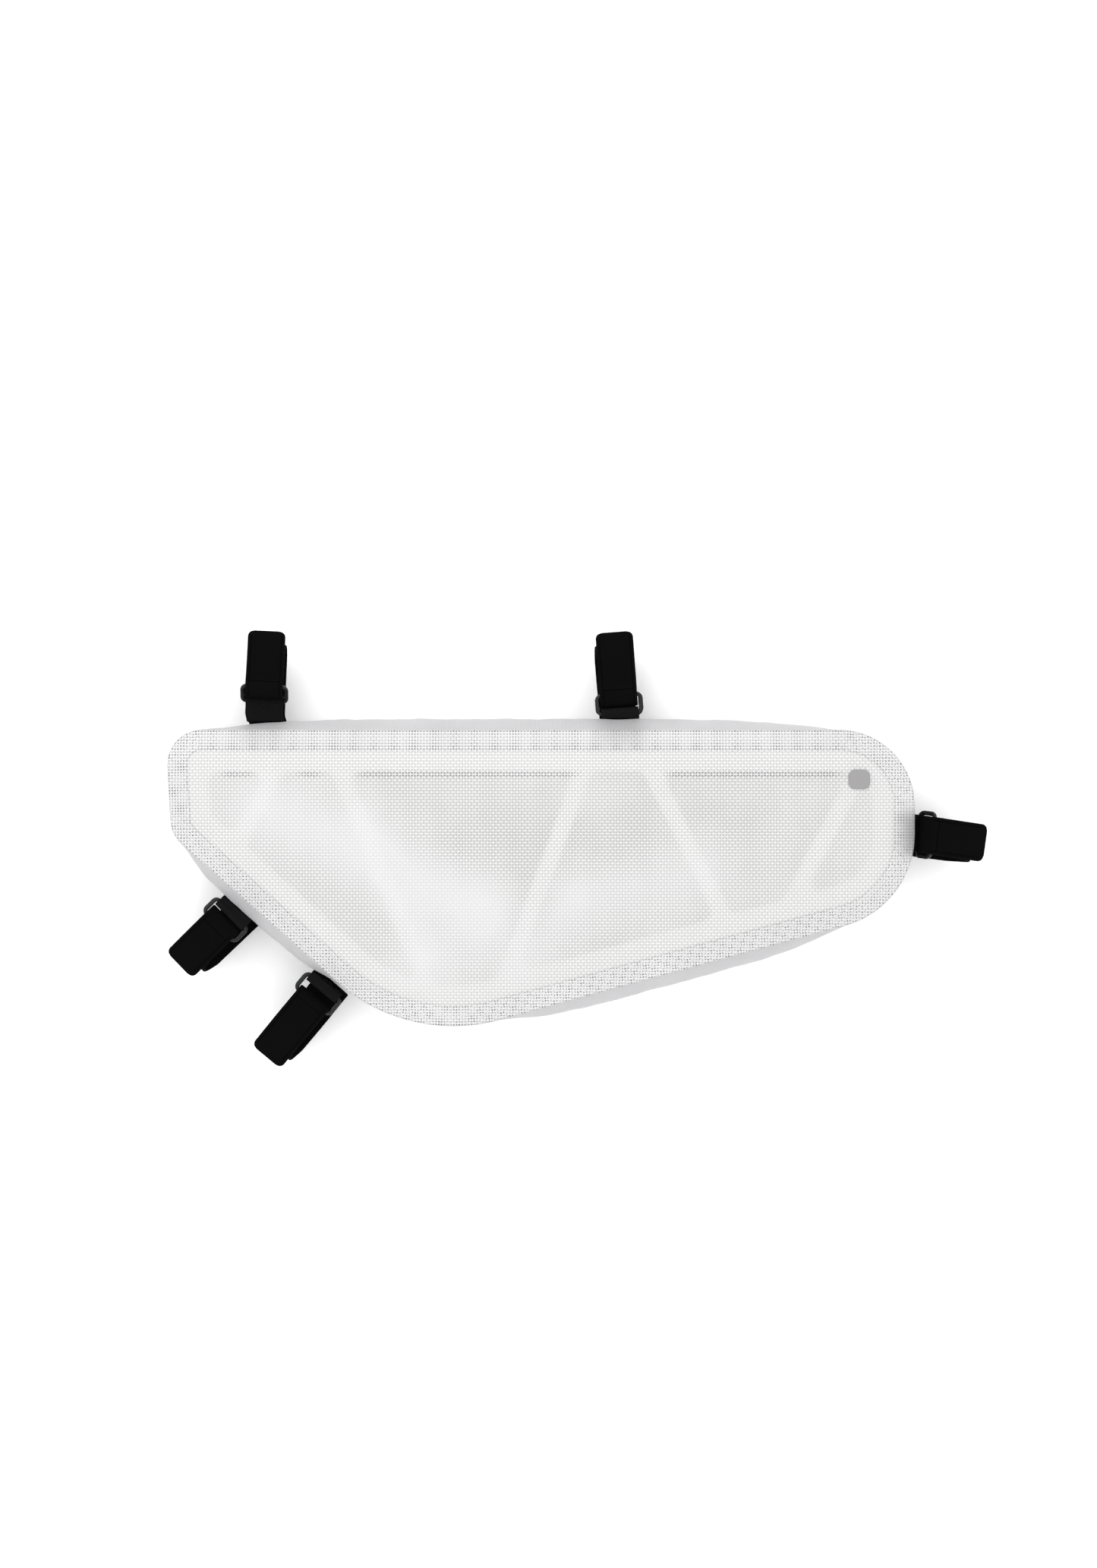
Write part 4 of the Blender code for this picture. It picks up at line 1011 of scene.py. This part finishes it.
CROSS_STITCH = 0.002
RING_SIDES = 20
RING_SOFTNESS = 0.7
WOBBLE, WOBBLE_RUN = 0.00012, 0.011
STRAP_BLACK = (0.0018, 0.0018, 0.0020, 1.0)
TAB_BLACK = (0.0040, 0.0040, 0.0043, 1.0)
THREAD_BLACK = (0.0006, 0.0006, 0.0006, 1.0)
RING_BLACK = (0.006, 0.006, 0.0062, 1.0)
# Each strap's lean in degrees, its sideways bow as a share of its width, its tab as a share of TAB_LENGTH,
# the ends of its loop and its tip as shares of STRAP_REACH, how far the loop lies to one side as a share of
# the width, the degrees by which the ring stands up, and the slack of the fold round it as a share of the
# width
STRAP_COLUMNS = ("name", "lean", "bow", "tab", "loop", "tip", "aside", "tilt", "slack")
STRAP_ROWS = (
    ("top_nose", -2.7, 0.055, 1.05, 0.765, 0.885, -0.01, 40, 0.20),
    ("top_tail", 4.3, 0.0, 0.225, 0.735, 0.852, 0.05, 0, 0.184),
    ("tail", -8.0, 0.0, 0.10, 0.608, 0.708, -0.12, 50, 0.27),
    ("slope_nose", -4.3, 0.0, 0.40, 0.695, 0.806, 0.20, 0, 0.184),
    ("slope_keel", 1.8, 0.0, 0.22, 0.840, 0.944, 0.14, 0, 0.03),
)
STRAPS = [dict(zip(STRAP_COLUMNS, row)) for row in STRAP_ROWS]


def strap_seat(strap):
    """The seam point under a strap, its outward normal and tangent, and how far out the gusset reaches."""
    point, normal = sewn_place(*SEWN_PLACES[strap["name"]][:2])
    tangent = np.array([-normal[1], normal[0]])
    away = SEAM_POINTS + SEAM_BULGES[:, None] * SEAM_NORMALS - point
    close = np.abs(away @ tangent) < STRAP_WIDTH * (0.5 + abs(strap["aside"]))
    return point, normal, tangent, (away @ normal)[close].max()


def s_curve(share):
    """An S-shaped share: t * t * (3 - 2 t)."""
    return share * share * (3 - 2 * share)


def lay_out(strap, seat, points):
    """Places points given as u out, v along the seam and w up: turned by the strap's lean and moved by its
    bow, both of which grow from none at the gusset."""
    point, normal, tangent, reach = seat
    out = points[..., 0] - reach
    share = s_curve(np.clip(out / BEND_RUN, 0, 1))
    angle = math.radians(strap["lean"]) * share
    u = reach + out * np.cos(angle) - points[..., 1] * np.sin(angle)
    v = out * np.sin(angle) + points[..., 1] * np.cos(angle) + strap["bow"] * STRAP_WIDTH * share
    flat = point + u[..., None] * normal + v[..., None] * tangent
    return np.concatenate([flat, points[..., 2:3]], axis=-1)


def arc(centre, radius, start, end, steps=24):
    """Points on an arc in the u-w plane, angles in degrees from +u towards +w."""
    angle = np.radians(np.linspace(start, end, steps + 1))
    return np.stack([centre[0] + radius * np.cos(angle), centre[1] + radius * np.sin(angle)], axis=1)


def ease(start, end, steps=12):
    """Points of an S-shaped run between two levels, both ends included."""
    share = np.linspace(0, 1, steps + 1)
    lift = s_curve(share)
    return np.stack([start[0] + (end[0] - start[0]) * share, start[1] + (end[1] - start[1]) * lift], axis=1)


def straight(start, end, steps=12):
    """Points of a straight run, both ends included."""
    return np.linspace(start, end, steps + 1)


def web_face(bulge, level):
    """How far out the gusset's web stands at a height."""
    share = (level - BACK_SEAM) / SEAM_DEPTH
    return bulge * 4 * share * (1 - share)


def ring_bars(strap):
    """The middles of a ring's inner bar, opening and outer bar: how far out from the gusset and how high."""
    tilt = math.radians(strap["tilt"])
    step = BAR_OFFSET * np.array([math.cos(tilt), math.sin(tilt)])
    middle = RING_OPENING / 2 + RING_BAR + strap["tab"] * TAB_LENGTH
    inner = np.array([middle - step[0], RING_LEVEL])
    return inner, inner + step, inner + 2 * step


def evened(points, step=STATION, passes=2):
    """The path at even steps, then softened: each pass sets a point to the mean of itself and its two
    neighbours, weighted 2 to 1 to 1."""
    keep = np.concatenate([[True], np.linalg.norm(np.diff(points[:, :2], axis=0), axis=1) > 1e-7])
    points = points[keep]
    length = run_lengths(points[:, :2])
    wanted = np.linspace(0, length[-1], max(8, int(length[-1] / step)))
    even = np.stack([np.interp(wanted, length, column) for column in points.T], axis=1)
    for _ in range(passes):
        even[1:-1] = (even[:-2] + 2 * even[1:-1] + even[2:]) / 4
    return even


def strap_path(strap, bulge):
    """Middle line of the strap from its tip, round the ring's outer bar, round the loop, to its sewn leg.
    Each row is u, w and the sideways shift of the loop."""
    half = STRAP_THICKNESS / 2
    tip = bulge + strap["tip"] * STRAP_REACH
    out, level = ring_bars(strap)[2]
    bar = bulge + out
    wrap = RING_BAR / 2 + GAP + half
    fold = bar - RING_BAR / 2 - strap["slack"] * STRAP_WIDTH + wrap - half
    close = half + GAP / 2
    low = RING_LEVEL - LOOP_DROP
    turn = (level - close - low) / 2
    loop_end = bulge + strap["loop"] * STRAP_REACH - half - turn
    foot = web_face(bulge, low + LEG_RADIUS) + GAP + half
    rise = low + LEG_RADIUS + np.linspace(0, LEG_LENGTH, 8)
    front = np.concatenate(
        [
            straight((tip, level + close), (bar + TAPER_RUN, level + close), 40),
            ease((bar + TAPER_RUN, level + close), (bar, level + wrap)),
            straight((bar, level + wrap), (fold, level + wrap)),
            arc((fold, level), wrap, 90, 270),
            straight((fold, level - wrap), (bar, level - wrap)),
            ease((bar, level - wrap), (bar + TAPER_RUN, level - close)),
            straight((bar + TAPER_RUN, level - close), (loop_end, level - close)),
        ]
    )
    behind = np.concatenate(
        [
            straight((loop_end, low), (foot + LEG_RADIUS, low), 30),
            arc((foot + LEG_RADIUS, low + LEG_RADIUS), LEG_RADIUS, 270, 180),
            np.stack([web_face(bulge, rise) + GAP + half, rise], axis=1),
        ]
    )
    around = arc((loop_end, low + turn), turn, 90, -90)
    shift = np.concatenate([np.zeros(len(front)), np.linspace(0, 1, len(around)), np.ones(len(behind))])
    path = np.concatenate([front, around, behind])
    sag = np.clip((path[:, 0] - bar - TAPER_RUN) / (tip - bulge - TAPER_RUN), 0, None) ** 2
    path[:, 1] -= DROOP * sag
    return evened(np.column_stack([path, shift * strap["aside"] * STRAP_WIDTH]))


def tab_path(strap, bulge):
    """Middle line of the tab: from its sewn end above the ring's inner bar, round it and down the gusset."""
    half = TAB_THICKNESS / 2
    out, level = ring_bars(strap)[0]
    bar = bulge + out
    wrap = RING_BAR / 2 + GAP + half
    fold = bar + RING_BAR / 2 + TAB_SLACK - wrap + half
    close = half + GAP / 2
    free = bar - bulge
    bend = min(LEG_RADIUS, free - GAP - half - LEAST_TAPER)
    taper = min(TAPER_RUN, free - GAP - half - bend)
    narrow = wrap - (wrap - close) * taper / TAPER_RUN
    lower = level - narrow
    foot = web_face(bulge, lower - bend) + GAP + half
    start = bulge + GAP + max(0.0, free - 2 * TAPER_RUN + half)
    end, fall = lower - bend, np.linspace(0, LEG_LENGTH, 8)
    path = np.concatenate(
        [
            straight((start, level + narrow), (bar - taper, level + narrow)),
            ease((bar - taper, level + narrow), (bar, level + wrap)),
            arc((fold, level), wrap, 90, -90),
            ease((bar, level - wrap), (bar - taper, lower)),
            straight((bar - taper, lower), (foot + bend, lower)),
            arc((foot + bend, end), bend, 90, 180),
            np.stack([web_face(bulge, end - fall) + GAP + half, end - fall], axis=1),
        ]
    )
    return evened(np.column_stack([path, np.zeros(len(path))]))


def add_band(name, strap, seat, path, thickness, tip=False):
    """A flat band with round edges that follows a path in the u-w plane. Its first TIP_RADIUS narrows as a
    quarter circle where it has a tip, and it wanders a little along its length."""
    length = run_lengths(path[:, :2])
    half = np.full(len(path), STRAP_WIDTH / 2)
    if tip:
        past = np.clip(1 - length / TIP_RADIUS, 0, 1)
        half -= TIP_RADIUS * (1 - np.sqrt(1 - past**2))
    wobble = np.sin(length / WOBBLE_RUN + strap["lean"]) * WOBBLE
    run = unit_rows(np.gradient(path[:, :2], axis=0))
    line = np.column_stack([path[:, 0], path[:, 2] + wobble, path[:, 1]])
    lift = np.column_stack([-run[:, 1], np.zeros(len(path)), run[:, 0]])
    piece = carry(name, line, Y_AXIS, lift, stadium(half, thickness / 2, across=10))
    place(piece, lay_out(strap, seat, vertices(piece)))
    face_outwards(piece)
    return piece


def add_stitches(name, strap, seat, line, side):
    """A thread that rises over the webbing and dips into it. For its radius r and a length s along it, it
    stands r (1.6 |sin(pi s / pitch)| ^ 0.5 - 1.1) over the line."""
    wave = np.abs(np.sin(math.pi * run_lengths(line) / STITCH_PITCH)) ** 0.5
    rise = STITCH_WIRE * (1.6 * wave - 1.1)
    piece = carry(name, line + Z_AXIS * rise[:, None], side, Z_AXIS, circle(STITCH_WIRE))
    place(piece, lay_out(strap, seat, vertices(piece)))
    face_outwards(piece)
    return piece


def strap_stitches(strap, seat, path):
    """Rows along the outer face, from the tip to the fold over the ring, and one across it past the ring."""
    label = strap["name"]
    bar = seat[3] + ring_bars(strap)[2][0]
    front_half = np.arange(len(path)) < len(path) // 2
    end = int(np.argmin(np.where(front_half, np.abs(path[:, 0] - bar + RING_BAR / 2), 9.0)))
    path = evened(path[5:end], 0.0004, 0)
    made = []
    for name, edge in (("low", -1), ("high", 1)):
        across = np.full(len(path), edge * (STRAP_WIDTH / 2 - STITCH_INSET))
        line = np.column_stack([path[:, 0], across, path[:, 1] + STRAP_THICKNESS / 2])
        made.append(add_stitches(f"stitches_{label}_{name}", strap, seat, line, Y_AXIS))
    out = bar + RING_BAR / 2 + CROSS_STITCH
    across = np.linspace(-1, 1, 60) * (STRAP_WIDTH / 2 - STITCH_INSET)
    level = np.interp(out, path[::-1, 0], path[::-1, 1]) + STRAP_THICKNESS / 2
    line = np.column_stack([np.full(60, out), across, np.full(60, level)])
    made.append(add_stitches(f"stitches_{label}_across", strap, seat, line, X_AXIS))
    return made


def add_ring(strap, seat):
    """A flat cast link. Each section is a soft box between the inner and the outer outline: its width goes
    as cos(a) and its height as sin(a), each to the power RING_SOFTNESS with its sign kept."""
    eye = (RING_OPENING, STRAP_WIDTH + 2 * RING_PLAY)
    inner = rounded_box(*eye, RING_EYE_CORNER)
    outer = rounded_box(eye[0] + 2 * RING_BAR, eye[1] + 2 * RING_BAR, RING_CORNER)
    turn = np.arange(RING_SIDES) * math.tau / RING_SIDES
    wide = np.sign(np.cos(turn)) * np.abs(np.cos(turn)) ** RING_SOFTNESS
    high = np.sign(np.sin(turn)) * np.abs(np.sin(turn)) ** RING_SOFTNESS * RING_THICKNESS / 2
    flat = ((outer + inner) / 2)[:, None] + ((outer - inner) / 2)[:, None] * wide[:, None]
    tilt = math.radians(strap["tilt"])
    middle = ring_bars(strap)[1]
    out = seat[3] + middle[0] + flat[..., 0] * math.cos(tilt) - high * math.sin(tilt)
    rise = middle[1] + flat[..., 0] * math.sin(tilt) + high * math.cos(tilt)
    grid = lay_out(strap, seat, np.stack([out, flat[..., 1], rise], axis=-1))
    round_it, about_it = (np.arange(size + 1) * STATION for size in grid.shape[:2])
    uv = millimetres(*np.meshgrid(round_it, about_it, indexing="ij"))
    piece = add_surface(f"link_{strap['name']}", grid, uv, wrap=(True, True))
    face_outwards(piece)
    return piece


STRAP_CLOTH = woven_material("strap_hook_and_loop", STRAP_BLACK, "X", 0.55, 0.95, 0.5, 0.03)
TAB_CLOTH = woven_material("tab_webbing", TAB_BLACK, "X", 1.1, 0.85, 0.8, 0.06)
THREAD = woven_material("sewing_thread", THREAD_BLACK, "X", 0.6, 0.7, 0.5, 0.02)
RING_PAINT = coated_material("ring_paint", RING_BLACK, 0.24, specular=0.25)
for strap in STRAPS:
    seat = strap_seat(strap)
    label = strap["name"]
    path = strap_path(strap, seat[3])
    band = add_band(f"band_{label}", strap, seat, path, STRAP_THICKNESS, tip=True)
    dress(band, STRAP_CLOTH, "strap_webbing", f"strap_{label}")
    tab = add_band(f"loop_{label}", strap, seat, tab_path(strap, seat[3]), TAB_THICKNESS)
    dress(tab, TAB_CLOTH, "tab_webbing", f"tab_{label}")
    dress(add_ring(strap, seat), RING_PAINT, "ring_wire", f"ring_{label}")
    for row in strap_stitches(strap, seat, path):
        dress(row, THREAD, "strap_webbing")
